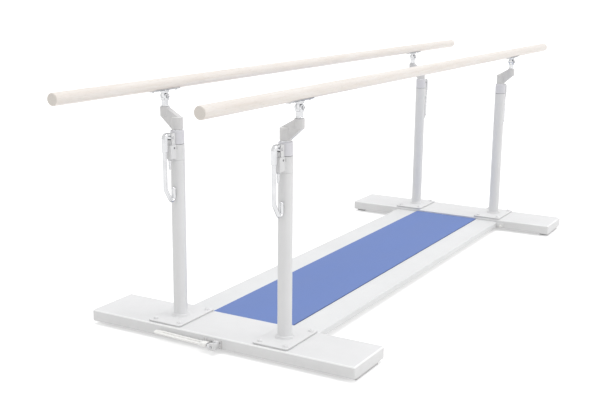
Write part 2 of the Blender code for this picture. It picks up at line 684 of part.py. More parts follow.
def saddle_mesh():
    """The cradle under the rail, with a hub and a tongue for the pivot bolt."""
    end = SADDLE_WIDTH / 2
    middle = SADDLE_LENGTH / 2 - end
    plan = arc((0, middle), end, 0, 180, END_STEPS) + arc((0, -middle), end, 180, 360, END_STEPS)
    depth = math.sqrt(SADDLE_TOP_RADIUS ** 2 - end ** 2)
    shape = extruded(plan, SADDLE_BOTTOM - WELD, RAIL_AXIS_HEIGHT - depth + WELD)
    hub = box((-HUB_SIZE / 2, HUB_SIZE / 2), (-HUB_SIZE / 2, HUB_SIZE / 2),
              (SADDLE_BOTTOM - HUB_HEIGHT, RAIL_AXIS_HEIGHT - depth))
    radius, half = TONGUE_RADIUS, FORK_SLOT / 2 - CLEARANCE
    outline = arc((0, FORK_PIVOT_HEIGHT), radius, 180, 360, END_STEPS)
    outline += [(radius, SADDLE_BOTTOM), (-radius, SADDLE_BOTTOM)]
    tongue = upright(extruded(outline, -half, half))
    return finished("rail_saddle", shape, [
        ("INTERSECT", rail_bore(SADDLE_BOTTOM_RADIUS)), ("UNION", hub), ("UNION", tongue),
        ("DIFFERENCE", rail_bore(SADDLE_TOP_RADIUS)),
        ("DIFFERENCE", cross_bore(BOLT_DIAMETER / 2 + CLEARANCE, FORK_WIDTH))])


def rail_bore(radius):
    """A cylinder along Y on the rail's axis, longer than the saddle."""
    shape = moved(cylinder(radius, -SADDLE_LENGTH, SADDLE_LENGTH, RAIL_SIDES), turn=90, axis="X")
    return moved(shape, (0, 0, RAIL_AXIS_HEIGHT))


def rail_mesh():
    """A round wooden bar along Y about the origin, with rounded ends."""
    half, inner = RAIL_LENGTH / 2 - RAIL_END_ROUND, RAIL_RADIUS - RAIL_END_ROUND
    end = arc((inner, half), RAIL_END_ROUND, 0, 90, 3)
    profile = [(0, -RAIL_LENGTH / 2)] + [(r, -z) for r, z in reversed(end)] + end
    profile += [(0, RAIL_LENGTH / 2)]
    return finished("handrail", moved(turned(profile, RAIL_SIDES), turn=90, axis="X"))


def spring_cylinder_mesh():
    """The gas spring's cylinder, closed above, with the rod's gland below."""
    outer, inner = SPRING_DIAMETER / 2, SPRING_DIAMETER / 2 - SPRING_WALL
    gland, ceiling = ROD_DIAMETER / 2 + CLEARANCE, SPRING_TOP - PISTON_END_GAP
    profile = [(gland, SPRING_BOTTOM), (outer, SPRING_BOTTOM), (outer, SPRING_TOP), (0, SPRING_TOP),
               (0, ceiling), (inner, ceiling), (inner, SPRING_BOTTOM + SPRING_GLAND),
               (gland, SPRING_BOTTOM + SPRING_GLAND)]
    return finished("gas_spring_cylinder", turned(profile, SMALL_SIDES))


def spring_rod_mesh():
    """The gas spring's rod, with its foot on the base plate and its piston."""
    rod, foot = ROD_DIAMETER / 2, ROD_FOOT_DIAMETER / 2
    piston = SPRING_DIAMETER / 2 - SPRING_WALL - CLEARANCE
    foot_top = ROD_BOTTOM + ROD_FOOT_HEIGHT
    low = SPRING_BOTTOM + SPRING_GLAND + LIFT_TRAVEL + CLEARANCE
    high = low + PISTON_LENGTH
    profile = [(0, ROD_BOTTOM), (foot, ROD_BOTTOM), (foot, foot_top), (rod, foot_top),
               (rod, low), (piston, low), (piston, high), (0, high)]
    return finished("gas_spring_rod", turned(profile, SMALL_SIDES))


def base_bracket_mesh():
    """Plate and clevis on the beam's face at y 0, reaching to -Y."""
    half = BASE_BRACKET_PLATE_WIDTH / 2
    low, high = BASE_PIVOT_HEIGHT - BASE_PLATE_HEIGHT / 2, BASE_PIVOT_HEIGHT + BASE_PLATE_HEIGHT / 2
    plate = box((-half, half), (-BASE_BRACKET_PLATE, 0), (low, high))
    near, far = -BASE_BRACKET_WIDTH / 2, BASE_BRACKET_WIDTH / 2 + BASE_WEB
    half_height = BASE_BRACKET_HEIGHT / 2
    block = box((near, far), (-BASE_BRACKET_REACH, -BASE_BRACKET_PLATE / 2),
                (BASE_PIVOT_HEIGHT - half_height, BASE_PIVOT_HEIGHT + half_height))
    slot_half = BASE_ROOT_WIDTH / 2 + CLEARANCE
    slot = box((2 * near, far - BASE_WEB), (-BASE_PIVOT_REACH - slot_half, slot_half - BASE_PIVOT_REACH),
               (0, BEAM_TOP))
    pin = moved(cylinder(PIN_DIAMETER / 2, BASE_BRACKET_PLATE / 2, BASE_BRACKET_REACH + PIN_END,
                         BORE_SIDES),
                (0, 0, BASE_PIVOT_HEIGHT), turn=90, axis="X")
    return finished("base_bracket", plate, [("UNION", block), ("DIFFERENCE", slot), ("UNION", pin)])


def base_lever_mesh():
    """The foot lever towards -X, about its pivot, which lies along Y."""
    root = moved(cylinder(BASE_ROOT_DIAMETER / 2, -BASE_ROOT_WIDTH / 2, BASE_ROOT_WIDTH / 2),
                 turn=90, axis="X")
    start, half, neck_half = -BASE_FERRULE_START, BASE_LOOP_HALF_WIDTH, BASE_NECK_HEIGHT / 2
    neck = box((start - WELD, 0), (-BASE_ROOT_WIDTH / 2, BASE_ROOT_WIDTH / 2), (-neck_half, neck_half))
    ferrule_half = BASE_FERRULE_WIDTH / 2, BASE_FERRULE_HEIGHT / 2
    ferrule = box((start - BASE_FERRULE_LENGTH, start), (-ferrule_half[0], ferrule_half[0]),
                  (-ferrule_half[1], ferrule_half[1]))
    leg = [(start - BASE_FERRULE_LENGTH / 2, half, 0), (-BASE_LOOP_STRAIGHT, half, BASE_LOOP_RISE),
           (-BASE_LOOP_LENGTH, BASE_TIP_HALF_WIDTH, BASE_LOOP_RISE)]
    corners = leg + [(x, -y, z) for x, y, z in reversed(leg)]
    loop = bent_wire(corners, BASE_BEND_RADIUS, BASE_WIRE_DIAMETER, WIRE_SIDES)
    bore = cylinder(PIN_DIAMETER / 2 + CLEARANCE, -BASE_ROOT_WIDTH, BASE_ROOT_WIDTH, BORE_SIDES)
    return finished("base_lever", root, [
        ("UNION", neck), ("UNION", ferrule), ("UNION", loop),
        ("DIFFERENCE", moved(bore, turn=90, axis="X"))])


def main():
    for old in list(bpy.data.objects):
        bpy.data.objects.remove(old)

    wood = material("pale_wood", (0.80, 0.72, 0.62), 0.55)
    paint = material("light_grey_paint", (0.66, 0.66, 0.68), 0.4)
    board_paint = material("board_coating", (0.74, 0.74, 0.77), 0.5)
    foam = material("blue_mat", (0.16, 0.26, 0.58), 0.8)
    plastic = material("white_plastic", (0.78, 0.77, 0.82), 0.45)
    chrome = material("bright_chrome", (0.75, 0.75, 0.76), 0.15, 1.0)
    zinc = material("zinc_plate", (0.55, 0.55, 0.57), 0.35, 1.0)
    cast = material("cast_grey", (0.42, 0.42, 0.43), 0.45, 0.6)
    rubber = material("rubber", (0.45, 0.45, 0.45), 0.85)
    black = material("black_enamel", (0.03, 0.03, 0.03), 0.3)

    beam, pad = beam_mesh(), pad_mesh()
    pad_x = BEAM_LENGTH / 2 - PAD_INSET - PAD_LENGTH / 2
    ends, sides = (("front", -1), ("rear", 1)), (("left", -1), ("right", 1))
    for end, end_sign in ends:
        place(f"cross_beam_{end}", beam, paint, (0, end_sign * BEAM_Y, 0))
        for side, side_sign in sides:
            place(f"floor_pad_{end}_{side}", pad, rubber, (side_sign * pad_x, end_sign * BEAM_Y, 0))
    place("platform_board", board_mesh(), board_paint)
    place("walking_mat", mat_mesh(), foam)

    face = (BASE_PIVOT_X, -BEAM_OUTER_Y - CLEARANCE, 0)
    place("base_lever_bracket", base_bracket_mesh(), cast, face)
    pivot = axis_point("base_lever_pivot", (face[0], face[1] - BASE_PIVOT_REACH, BASE_PIVOT_HEIGHT))
    place("base_lever", base_lever_mesh(), chrome, parent=pivot)

    meshes = {"post": post_mesh(), "inner": inner_tube_mesh(), "housing": housing_mesh(),
              "collar": collar_mesh(), "shoe": shoe_mesh(), "lever": lever_mesh(),
              "arm": arm_mesh(), "fork": fork_mesh(), "bolt": bolt_mesh(),
              "saddle": saddle_mesh(), "rail": rail_mesh(),
              "cylinder": spring_cylinder_mesh(), "rod": spring_rod_mesh()}
    for side, side_sign in sides:
        arm_turn = 90 - 90 * side_sign
        rail_axis = None
        for end, end_sign in ends:
            corner = f"{end}_{side}"
            foot = (side_sign * POST_X, end_sign * POST_Y, 0)
            turn = 90 + 90 * end_sign
            place(f"post_{corner}", meshes["post"], paint, foot, turn)
            place(f"lock_housing_{corner}", meshes["housing"], paint, foot, turn)
            place(f"guide_collar_{corner}", meshes["collar"], plastic, foot, turn)
            place(f"gas_spring_rod_{corner}", meshes["rod"], zinc, foot)

            slide = axis_point(f"clamp_slide_{corner}", (foot[0], foot[1], SHOE_HEIGHT), turn)
            place(f"clamp_shoe_{corner}", meshes["shoe"], zinc, parent=slide)
            pin = (foot[0], foot[1] + end_sign * LEVER_PIVOT_REACH, LEVER_PIVOT_HEIGHT)
            hinge = axis_point(f"lever_pivot_{corner}", pin, turn)
            place(f"release_lever_{corner}", meshes["lever"], chrome, parent=hinge)

            lift = axis_point(f"lift_{corner}", foot)
            place(f"inner_tube_{corner}", meshes["inner"], chrome, parent=lift)
            place(f"gas_spring_cylinder_{corner}", meshes["cylinder"], black, parent=lift)
            arm_axis = axis_point(f"arm_swivel_{corner}", (0, 0, 0), arm_turn, lift)
            place(f"crank_arm_{corner}", meshes["arm"], cast, parent=arm_axis)
            head_axis = axis_point(f"head_swivel_{corner}", (ARM_OFFSET, 0, 0), -arm_turn, arm_axis)
            place(f"swivel_fork_{corner}", meshes["fork"], chrome, parent=head_axis)

            # The rail, its saddles and their bolts turn on the front swivel
            rail_axis = rail_axis or head_axis
            along = (0, (end_sign + 1) * POST_Y, 0)
            place(f"pivot_bolt_{corner}", meshes["bolt"], zinc, along, parent=rail_axis)
            place(f"rail_saddle_{corner}", meshes["saddle"], chrome, along, parent=rail_axis)
        place(f"handrail_{side}", meshes["rail"], wood, (0, POST_Y, RAIL_AXIS_HEIGHT), parent=rail_axis)


main()
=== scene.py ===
"""Looks of the parallel walking bars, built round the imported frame, in metres.

+Z is up, Y runs along the handrails and the front end is at -Y. Every piece lies in
the frame's own axes, with its object at the origin, and takes its place from the
frame's nodes.
"""
import json
import math

import bmesh
import bpy
from mathutils import Matrix, Vector

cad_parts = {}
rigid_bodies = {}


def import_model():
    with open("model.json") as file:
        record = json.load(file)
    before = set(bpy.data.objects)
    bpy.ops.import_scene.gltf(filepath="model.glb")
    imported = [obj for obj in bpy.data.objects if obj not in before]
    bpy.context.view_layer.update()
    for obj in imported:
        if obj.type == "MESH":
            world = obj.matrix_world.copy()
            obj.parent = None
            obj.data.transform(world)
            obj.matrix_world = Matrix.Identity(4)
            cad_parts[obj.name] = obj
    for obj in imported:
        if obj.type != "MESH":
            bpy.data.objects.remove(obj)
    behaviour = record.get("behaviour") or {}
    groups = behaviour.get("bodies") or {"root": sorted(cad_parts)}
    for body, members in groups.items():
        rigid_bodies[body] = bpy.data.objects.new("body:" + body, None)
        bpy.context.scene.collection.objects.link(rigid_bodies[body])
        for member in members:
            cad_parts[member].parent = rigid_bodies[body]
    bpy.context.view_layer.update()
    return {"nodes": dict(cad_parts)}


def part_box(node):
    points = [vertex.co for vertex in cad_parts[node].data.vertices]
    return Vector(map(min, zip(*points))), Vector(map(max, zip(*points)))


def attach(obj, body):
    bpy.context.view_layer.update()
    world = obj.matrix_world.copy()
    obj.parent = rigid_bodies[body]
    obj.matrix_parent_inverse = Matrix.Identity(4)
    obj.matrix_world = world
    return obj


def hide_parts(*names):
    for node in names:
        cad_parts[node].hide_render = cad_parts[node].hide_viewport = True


bl_info = {
    "name": "Parallel Walking Bars",
    "version": (1, 0, 0),
    "blender": (4, 5, 0),
    "location": "3D View > Sidebar > Walking Bars",
    "description": "Dresses the frame of a set of parallel walking bars",
    "category": "Object",
}

for leftover in list(bpy.data.objects):
    bpy.data.objects.remove(leftover)
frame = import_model()

ENDS = {"front": -1, "rear": 1}
SIDES = {"left": -1, "right": 1}
CORNERS = {f"{end}_{side}": (ENDS[end], SIDES[side]) for end in ENDS for side in SIDES}
BOTH = (-1, 1)
SHARP = math.radians(32)
FINISHES, TREES = {}, {}


# Places on the frame

def low(node):
    """Lowest corner of a node of the frame."""
    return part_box(node)[0]


def high(node):
    """Highest corner of a node of the frame."""
    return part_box(node)[1]


def middle(node):
    """Middle of a node's box."""
    return (low(node) + high(node)) / 2


POST = {corner: middle(f"guide_collar_{corner}") for corner in CORNERS}
HEAD = {corner: middle(f"pivot_bolt_{corner}") for corner in CORNERS}
PLATE_TOP = low("walking_mat").z
BEAM_TOP = high("cross_beam_front").z
TUBE_TOP = high("post_front_left").z
COLLAR_BOTTOM = low("guide_collar_front_left").z
COLLAR_TOP = high("guide_collar_front_left").z
ARM_BOTTOM = low("crank_arm_front_left").z
ARM_TOP = high("crank_arm_front_left").z
PIVOT_HEIGHT = HEAD["front_left"].z
RAIL_HEIGHT = middle("handrail_left").z
RAIL_RADIUS = (high("handrail_left").z - low("handrail_left").z) / 2
TUBE_RADIUS, TUBE_BORE, COLLAR_RADIUS, COLLAR_BORE = 0.0230, 0.0204, 0.0226, 0.0173
GAP = 0.0003
LEVER_REACH = 0.037
LEVER_HEIGHT = COLLAR_BOTTOM + 0.0247
ROUND = 72


class WalkingBarsColours(bpy.types.PropertyGroup):
    """Colours of the finishes."""
    paint: bpy.props.FloatVectorProperty(
        name="Paint", description="Powder coat of the beams, posts and locks",
        default=(0.800, 0.800, 0.805), size=3, min=0, max=1, subtype="COLOR")
    board: bpy.props.FloatVectorProperty(
        name="Board", description="Coating of the board between the beams",
        default=(0.790, 0.795, 0.800), size=3, min=0, max=1, subtype="COLOR")
    wood: bpy.props.FloatVectorProperty(
        name="Wood", description="Light part of the handrails' grain",
        default=(0.860, 0.820, 0.785), size=3, min=0, max=1, subtype="COLOR")
    mat: bpy.props.FloatVectorProperty(
        name="Mat", description="Mat on the board",
        default=(0.166, 0.245, 0.528), size=3, min=0, max=1, subtype="COLOR")


class WalkingBarsSizes(bpy.types.PropertyGroup):
    """Sizes of the small parts that the frame does not carry."""
    plate_bolt: bpy.props.FloatProperty(
        name="Plate Bolt", description="Head diameter of the base plates' bolts",
        default=0.0150, min=0.004, max=0.03, unit="LENGTH")
    plate_bolt_inset: bpy.props.FloatVectorProperty(
        name="Plate Bolt Inset", description="Distance of the bolts from the plates' edges",
        default=(0.0170, 0.0200), size=2, min=0.008, max=0.04)
    tab_bolt: bpy.props.FloatProperty(
        name="Tab Bolt", description="Head diameter of the bolts in the board's tabs",
        default=0.0110, min=0.004, max=0.02, unit="LENGTH")
    saddle_screw: bpy.props.FloatProperty(
        name="Saddle Screw", description="Head diameter of the screws under the handrails",
        default=0.0085, min=0.003, max=0.02, unit="LENGTH")
    saddle_screw_reach: bpy.props.FloatProperty(
        name="Saddle Screw Reach", description="Distance of those screws from the saddle's middle",
        default=0.0600, min=0.02, max=0.07, unit="LENGTH")
    weld_bead: bpy.props.FloatProperty(
        name="Weld Bead", description="Radius of the weld round each post's foot",
        default=0.0022, min=0.0005, max=0.006, unit="LENGTH")
    weld_ripples: bpy.props.IntProperty(
        name="Weld Ripples", description="Ripples in one turn of the weld",
        default=46, min=8, max=200)


class WalkingBarsStudio(bpy.types.PropertyGroup):
    """Light of the studio."""
    sky: bpy.props.FloatProperty(
        name="Sky", description="Strength of the even light from all round",
        default=0.50, min=0, max=2)
    top: bpy.props.FloatProperty(
        name="Top", description="Strength of the soft lamp above",
        default=1.60, min=0, max=10)
    side: bpy.props.FloatProperty(
        name="Side", description="Strength of the soft lamp on the right",
        default=0.64, min=0, max=10)
    front: bpy.props.FloatProperty(
        name="Front", description="Strength of the soft lamp in front",
        default=0.28, min=0, max=10)


# Node trees

def add(tree, kind, values=(), **settings):
    """A node with its settings; its inputs, by name or number, take values or sockets."""
    node = tree.nodes.new(kind)
    for name, value in settings.items():
        setattr(node, name, value)
    for name, value in dict(values).items():
        if isinstance(value, bpy.types.NodeSocket):
            tree.links.new(value, node.inputs[name])
        elif value is not None:
            node.inputs[name].default_value = value
    return node


def maths(tree, operation, first, second=None):
    """A Math node's output."""
    return add(tree, "ShaderNodeMath", {0: first, 1: second}, operation=operation).outputs[0]


def vectors(tree, operation, first, second=None):
    """A Vector Math node's outputs, a vector and a value."""
    return add(tree, "ShaderNodeVectorMath", {0: first, 1: second}, operation=operation).outputs


def parts(tree, vector):
    """The X, Y and Z of a vector."""
    return list(add(tree, "ShaderNodeSeparateXYZ", {0: vector}).outputs)


def ranged(tree, value, start, end, to_start=0.0, to_end=1.0):
    """A value brought from one range to another, held at its ends."""
    return add(tree, "ShaderNodeMapRange", {
        "Value": value, "From Min": start, "From Max": end, "To Min": to_start,
        "To Max": to_end}).outputs["Result"]


def noise(tree, vector, scale, detail=3.0, roughness=0.5, distortion=0.0, stretch=None):
    """A noise value about the vector, which can be stretched along each axis first."""
    if stretch:
        vector = vectors(tree, "MULTIPLY", vector, stretch)[0]
    return add(tree, "ShaderNodeTexNoise", {
        "Vector": vector, "Scale": scale, "Detail": detail, "Roughness": roughness,
        "Distortion": distortion}).outputs["Fac"]


def effect(name, draw, **inputs):
    """A shader node group; draw gives its outputs by name, from its Vector and inputs."""
    group = bpy.data.node_groups.new(name, "ShaderNodeTree")
    group.interface.new_socket("Vector", in_out="INPUT", socket_type="NodeSocketVector")
    for label, default in inputs.items():
        kind = "NodeSocketVector" if isinstance(default, tuple) else "NodeSocketFloat"
        group.interface.new_socket(label.replace("_", " "), in_out="INPUT",
                                   socket_type=kind).default_value = default
    given = group.nodes.new("NodeGroupInput").outputs
    results = draw(group, given["Vector"], given)
    for label in results:
        group.interface.new_socket(label, in_out="OUTPUT", socket_type="NodeSocketFloat")
    add(group, "NodeGroupOutput", results)
    return group


def coat_skin(group, place, given):
    """The fine unevenness and the faint patches of a coat or a moulded skin."""
    patches = noise(group, place, given["Patch Scale"], 4, 0.6)
    return {"Height": noise(group, place, given["Skin Scale"], 2),
            "Patches": ranged(group, patches, 0.32, 0.68)}


def rub_marks(group, place, given):
    """Short rub marks and fine scratches of use."""
    along = noise(group, place, given["Size"], 3, 0.7, stretch=(9.0, 1.0, 9.0))
    across = noise(group, place, given["Size"], 3, 0.7, stretch=(1.0, 8.0, 1.4))
    lines = maths(group, "MAXIMUM", ranged(group, along, 0.63, 0.72),
                  ranged(group, across, 0.64, 0.72))
    where = ranged(group, noise(group, place, 7.0, 2), 0.48, 0.62)
    return {"Marks": maths(group, "MULTIPLY", lines, where)}


def floor_dust(group, place, given):
    """Dust that lies thicker near the floor."""
    share = maths(group, "DIVIDE", parts(group, place)[2], given["Top"])
    cloud = noise(group, place, 24.0, 5, 0.65)
    return {"Dust": maths(group, "MULTIPLY", ranged(group, share, 1.0, 0.0),
                          ranged(group, cloud, 0.35, 0.75))}


def timber_grain(group, place, given):
    """Streaks, pores and bands of a round bar that was turned along Y."""
    streaks = noise(group, place, given["Streak Scale"], 5, 0.62, 0.4, (1.0, 0.030, 1.0))
    pores = noise(group, place, given["Pore Scale"], 2, 0.5, stretch=(1.0, 0.055, 1.0))
    bands = noise(group, place, 34.0, 3, 0.5, 0.8, (1.0, 0.16, 1.0))
    return {"Streaks": ranged(group, streaks, 0.34, 0.70),
            "Pores": ranged(group, pores, 0.58, 0.70), "Bands": ranged(group, bands, 0.36, 0.66)}


def mat_emboss(group, place, given):
    """The small raised lozenges of a non-slip mat, and its wear."""
    x, y, _ = parts(group, place)
    waves = [maths(group, "SINE", maths(group, "MULTIPLY", maths(group, way, x, y),
                                        given["Pitch"])) for way in ("ADD", "SUBTRACT")]
    wear = noise(group, place, 11.0, 5, 0.6, stretch=(1.0, 0.4, 1.0))
    return {"Height": ranged(group, maths(group, "MULTIPLY", *waves), -0.2, 0.7),
            "Wear": ranged(group, wear, 0.30, 0.70)}


def end_grain(group, place, given):
    """The year rings on a bar's two cut ends."""
    folded = vectors(group, "ABSOLUTE", place)[0]
    depth = maths(group, "SUBTRACT", given["Half Length"], parts(group, folded)[1])
    apart = vectors(group, "SUBTRACT", folded, given["Rail Place"])[0]
    radius = vectors(group, "LENGTH", vectors(group, "MULTIPLY", apart, (1.0, 0.0, 1.0))[0])
    waver = maths(group, "MULTIPLY", noise(group, place, 90.0, 3), 6.0)
    turns = maths(group, "ADD", maths(group, "MULTIPLY", radius["Value"], 2100.0), waver)
    return {"Ends": ranged(group, depth, 0.0022, 0.0008),
            "Rings": ranged(group, maths(group, "SINE", turns), -0.4, 0.9)}


def height_band(group, place, given):
    """One between two heights."""
    height = parts(group, place)[2]
    above = maths(group, "GREATER_THAN", height, given["Low"])
    below = maths(group, "LESS_THAN", height, given["High"])
    return {"Band": maths(group, "MULTIPLY", above, below)}


class Finish:
    """A material in the making: its tree, its shader's inputs and its effects."""

    def __init__(self, slot, base, roughness, metallic=0.0, others=()):
        FINISHES[slot] = material = bpy.data.materials.new(f"{slot}_finish")
        material.use_nodes = True
        self.base = material.diffuse_color = (*base, 1.0)
        self.tree = material.node_tree
        self.inputs = self.tree.nodes["Principled BSDF"].inputs
        for name, value in {"Base Color": self.base, "Roughness": roughness,
                            "Metallic": metallic, **dict(others)}.items():
            self.inputs[name].default_value = value
        self.place = self.tree.nodes.new("ShaderNodeTexCoord").outputs["Object"]

    def use(self, group, **values):
        """Places an effect and gives its outputs."""
        values = {label.replace("_", " "): value for label, value in values.items()}
        return add(self.tree, "ShaderNodeGroup", {"Vector": self.place, **values},
                   node_tree=group).outputs

    def tint(self, mask, color, amount):
        """Lays a colour over the base where the mask is high."""
        mask = maths(self.tree, "MULTIPLY", mask, amount)
        self.base = add(self.tree, "ShaderNodeMix", {0: mask, 6: self.base, 7: (*color, 1.0)},
                        data_type="RGBA").outputs[2]
        self.tree.links.new(self.base, self.inputs["Base Color"])

    def polish(self, mask, smooth, rough):
        """Lets the roughness follow a mask."""
        self.tree.links.new(ranged(self.tree, mask, 0.0, 1.0, smooth, rough),
                            self.inputs["Roughness"])

    def relief(self, height, depth, strength):
        """Raises the surface where the height is high."""
        bump = add(self.tree, "ShaderNodeBump", {
            "Distance": depth, "Strength": strength, "Height": height})
        self.tree.links.new(bump.outputs["Normal"], self.inputs["Normal"])


def shade(color, factor):
    """The colour, lighter or darker by a factor."""
    return tuple(min(1.0, channel * factor) for channel in color)


def make_finishes(colours):
    """Every material of the object, by the name of its slot."""
    skin = effect("Coat Skin", coat_skin, Skin_Scale=700.0, Patch_Scale=9.0)
    marks = effect("Rub Marks", rub_marks, Size=60.0)
    dust = effect("Floor Dust", floor_dust, Top=0.10)
    grain = effect("Timber Grain", timber_grain, Streak_Scale=150.0, Pore_Scale=900.0)
    emboss = effect("Mat Emboss", mat_emboss, Pitch=1500.0)
    rings = effect("End Grain", end_grain, Rail_Place=(0.0, 0.0, 0.0), Half_Length=1.5)
    band = effect("Height Band", height_band, Low=0.0, High=1.0)

    coats = {}
    # Colour, roughness, metal, others; scales of skin and patches; colour and share of the
    # patches; roughness between and in them; depth and strength of the relief
    for slot, base, scales, patch, gloss, bumps in (
            ("light_grey_paint", (colours.paint, 0.38, 0.0, {"Specular IOR Level": 0.3}),
             (620.0, 6.0), (shade(colours.paint, 0.965), 1.0), (0.42, 0.52), (0.00012, 0.55)),
            ("board_coating", (colours.board, 0.46),
             (480.0, 4.5), (shade(colours.board, 0.965), 1.0), (0.40, 0.54), (0.00018, 0.6)),
            ("white_plastic", ((0.740, 0.735, 0.770), 0.42),
             (1100.0, 40.0), ((0.690, 0.685, 0.725), 0.6), (0.36, 0.48), (0.00006, 0.5)),
            ("bright_chrome", ((0.700, 0.704, 0.714), 0.14, 1.0,
                               {"Specular Tint": (0.55, 0.55, 0.56, 1)}),
             (240.0, 36.0), ((0.570, 0.574, 0.586), 0.7), (0.07, 0.17), (0.00002, 0.4)),
            ("zinc_plate", ((0.520, 0.520, 0.532), 0.32, 1.0),
             (900.0, 160.0), ((0.400, 0.404, 0.416), 0.8), (0.24, 0.42), (0.00003, 0.6)),
            ("cast_grey", ((0.700, 0.694, 0.694), 0.42),
             (950.0, 70.0), ((0.640, 0.634, 0.634), 0.6), (0.34, 0.50), (0.00010, 0.7)),
            ("rubber", ((0.640, 0.640, 0.645), 0.85),
             (1400.0, 50.0), ((0.560, 0.560, 0.565), 0.8), (0.78, 0.92), (0.00012, 0.8)),
            ("black_enamel", ((0.025, 0.025, 0.027), 0.28),
             (600.0, 30.0), ((0.045, 0.045, 0.048), 0.7), (0.22, 0.36), (0.00006, 0.5)),
            # White coat of the tab bolts and the foot lever's loop and ferrule; also the painted
            # highlight on the crank arms' eyes
            ("white_coat_and_highlight", ((0.950, 0.945, 0.925), 0.34),
             (800.0, 40.0), ((0.910, 0.905, 0.885), 0.7), (0.28, 0.42), (0.00006, 0.5)),
            # Painted shade in the locks' groove and slit and under the collars; also the dark of
            # the locks' seams and screws
            ("shade_and_dark_parts", ((0.170, 0.170, 0.175), 0.60),
             (900.0, 90.0), ((0.230, 0.230, 0.235), 0.7), (0.50, 0.72), (0.00005, 0.5))):
        coats[slot] = finish = Finish(slot, *base)
        coat = finish.use(skin, Skin_Scale=scales[0], Patch_Scale=scales[1])
        finish.tint(coat["Patches"], *patch)
        finish.polish(coat["Patches"], *gloss)
        finish.relief(coat["Height"], *bumps)

    paint, board, rubber = (coats[slot] for slot in ("light_grey_paint", "board_coating", "rubber"))
    paint.tint(paint.use(dust, Top=0.06)["Dust"], (0.60, 0.58, 0.54), 0.12)
    paint.tint(paint.use(marks, Size=70.0)["Marks"], (0.55, 0.55, 0.55), 0.16)
    # Painted shade: the sides of the base plates are tinted grey, for the shade that falls on them
    edge = paint.use(band, Low=BEAM_TOP + 0.0001, High=BEAM_TOP + 0.0056)["Band"]
    paint.tint(edge, (0.50, 0.50, 0.50), 0.6)
    # Painted highlight: a bright band round the rounded upper edges of the beams
    beam_edge_highlight = paint.use(band, Low=BEAM_TOP - 0.0045, High=BEAM_TOP - 0.0001)["Band"]
    paint.tint(beam_edge_highlight, (0.95, 0.95, 0.95), 0.8)
    board.tint(board.use(marks, Size=46.0)["Marks"], (0.55, 0.55, 0.56), 0.22)
    rubber.tint(rubber.use(dust, Top=0.02)["Dust"], (0.52, 0.50, 0.47), 0.35)

    wood = Finish("pale_wood", colours.wood, 0.42, 0.0,
                  {"Coat Weight": 0.20, "Coat Roughness": 0.25})
    figure = wood.use(grain, Streak_Scale=150.0, Pore_Scale=900.0)
    wood.tint(figure["Bands"], (0.800, 0.735, 0.680), 0.55)
    wood.tint(figure["Streaks"], (0.735, 0.650, 0.575), 0.45)
    wood.tint(figure["Pores"], (0.560, 0.470, 0.390), 0.35)
    pith = abs(middle("handrail_left").x) + 0.010, 0.0, RAIL_HEIGHT - 0.006
    cut = wood.use(rings, Rail_Place=pith, Half_Length=high("handrail_left").y)
    wood.tint(cut["Ends"], (0.740, 0.700, 0.650), 0.9)
    wood.tint(maths(wood.tree, "MULTIPLY", cut["Ends"], cut["Rings"]), (0.560, 0.500, 0.450), 0.45)
    wood.polish(figure["Streaks"], 0.36, 0.50)
    wood.relief(figure["Pores"], -0.00008, 0.5)

    mat = Finish("blue_mat", colours.mat, 0.80, 0.0, {"Specular IOR Level": 0.35})
    tread = mat.use(emboss, Pitch=1500.0)
    mat.tint(tread["Wear"], shade(colours.mat, 1.10), 0.7)
    mat.tint(tread["Height"], shade(colours.mat, 0.90), 0.5)
    mat.tint(mat.use(marks, Size=60.0)["Marks"], shade(colours.mat, 0.72), 0.9)
    # The mat is darker up to 2.4 mm above its underside, along its sides
    mat_side_band = mat.use(band, Low=PLATE_TOP - 0.001, High=PLATE_TOP + 0.0024)["Band"]
    mat.tint(mat_side_band, (0.025, 0.045, 0.160), 0.95)
    mat.polish(tread["Wear"], 0.72, 0.88)
    mat.relief(tread["Height"], 0.00025, 0.7)


# Shapes

def closed(shape):
    """The shape, with its faces pointing outwards."""
    bmesh.ops.recalc_face_normals(shape, faces=shape.faces)
    return shape


def joined(shape, pairs):
    """Joins pairs of rings of vertices; a ring of one vertex is a pole."""
    for lower, upper in pairs:
        sides = max(len(lower), len(upper))
        for i in range(sides if sides > 1 else 0):
            j = (i + 1) % sides
            ring = [lower[i % len(lower)], lower[j % len(lower)],
                    upper[j % len(upper)], upper[i % len(upper)]]
            shape.faces.new(list(dict.fromkeys(ring)))


def circle(sides):
    """Angles of a whole turn."""
    return [2 * math.pi * i / sides for i in range(sides)]


def turned(profile, sides=64):
    """A closed (radius, z) profile turned about Z; radius 0 gives a pole."""
    shape = bmesh.new()
    rings = [[shape.verts.new((radius * math.cos(a), radius * math.sin(a), height))
              for a in circle(sides if radius > 1e-7 else 1)] for radius, height in profile]
    joined(shape, zip(rings, rings[1:] + rings[:1]))
    return closed(shape)


def mirrored(half):
    """A profile's upper half with its lower half."""
    return [(r, -z) for r, z in reversed(half)] + half


def arc(center, radius, start, end, steps):
    """Points of an arc, with the angles in degrees."""
    angles = [math.radians(start + (end - start) * i / steps) for i in range(steps + 1)]
    return [(center[0] + radius * math.cos(a), center[1] + radius * math.sin(a)) for a in angles]


def rounded(width, length, radius, steps=8):
    """Outline of a rectangle about the origin with round corners."""
    x, y = width / 2 - radius, length / 2 - radius
    corners = ((x, y, 0), (-x, y, 90), (-x, -y, 180), (x, -y, 270))
    return [p for cx, cy, start in corners for p in arc((cx, cy), radius, start, start + 90, steps)]


def extruded(outline, bottom, top):
    """A flat (x, y) outline extruded along Z."""
    shape = bmesh.new()
    rings = [[shape.verts.new((x, y, z)) for x, y in outline] for z in (bottom, top)]
    for ring in rings:
        shape.faces.new(ring)
    joined(shape, [rings])
    return closed(shape)


def block(x, y, z):
    """A box between (low, high) pairs."""
    return extruded([(x[0], y[0]), (x[1], y[0]), (x[1], y[1]), (x[0], y[1])], *z)


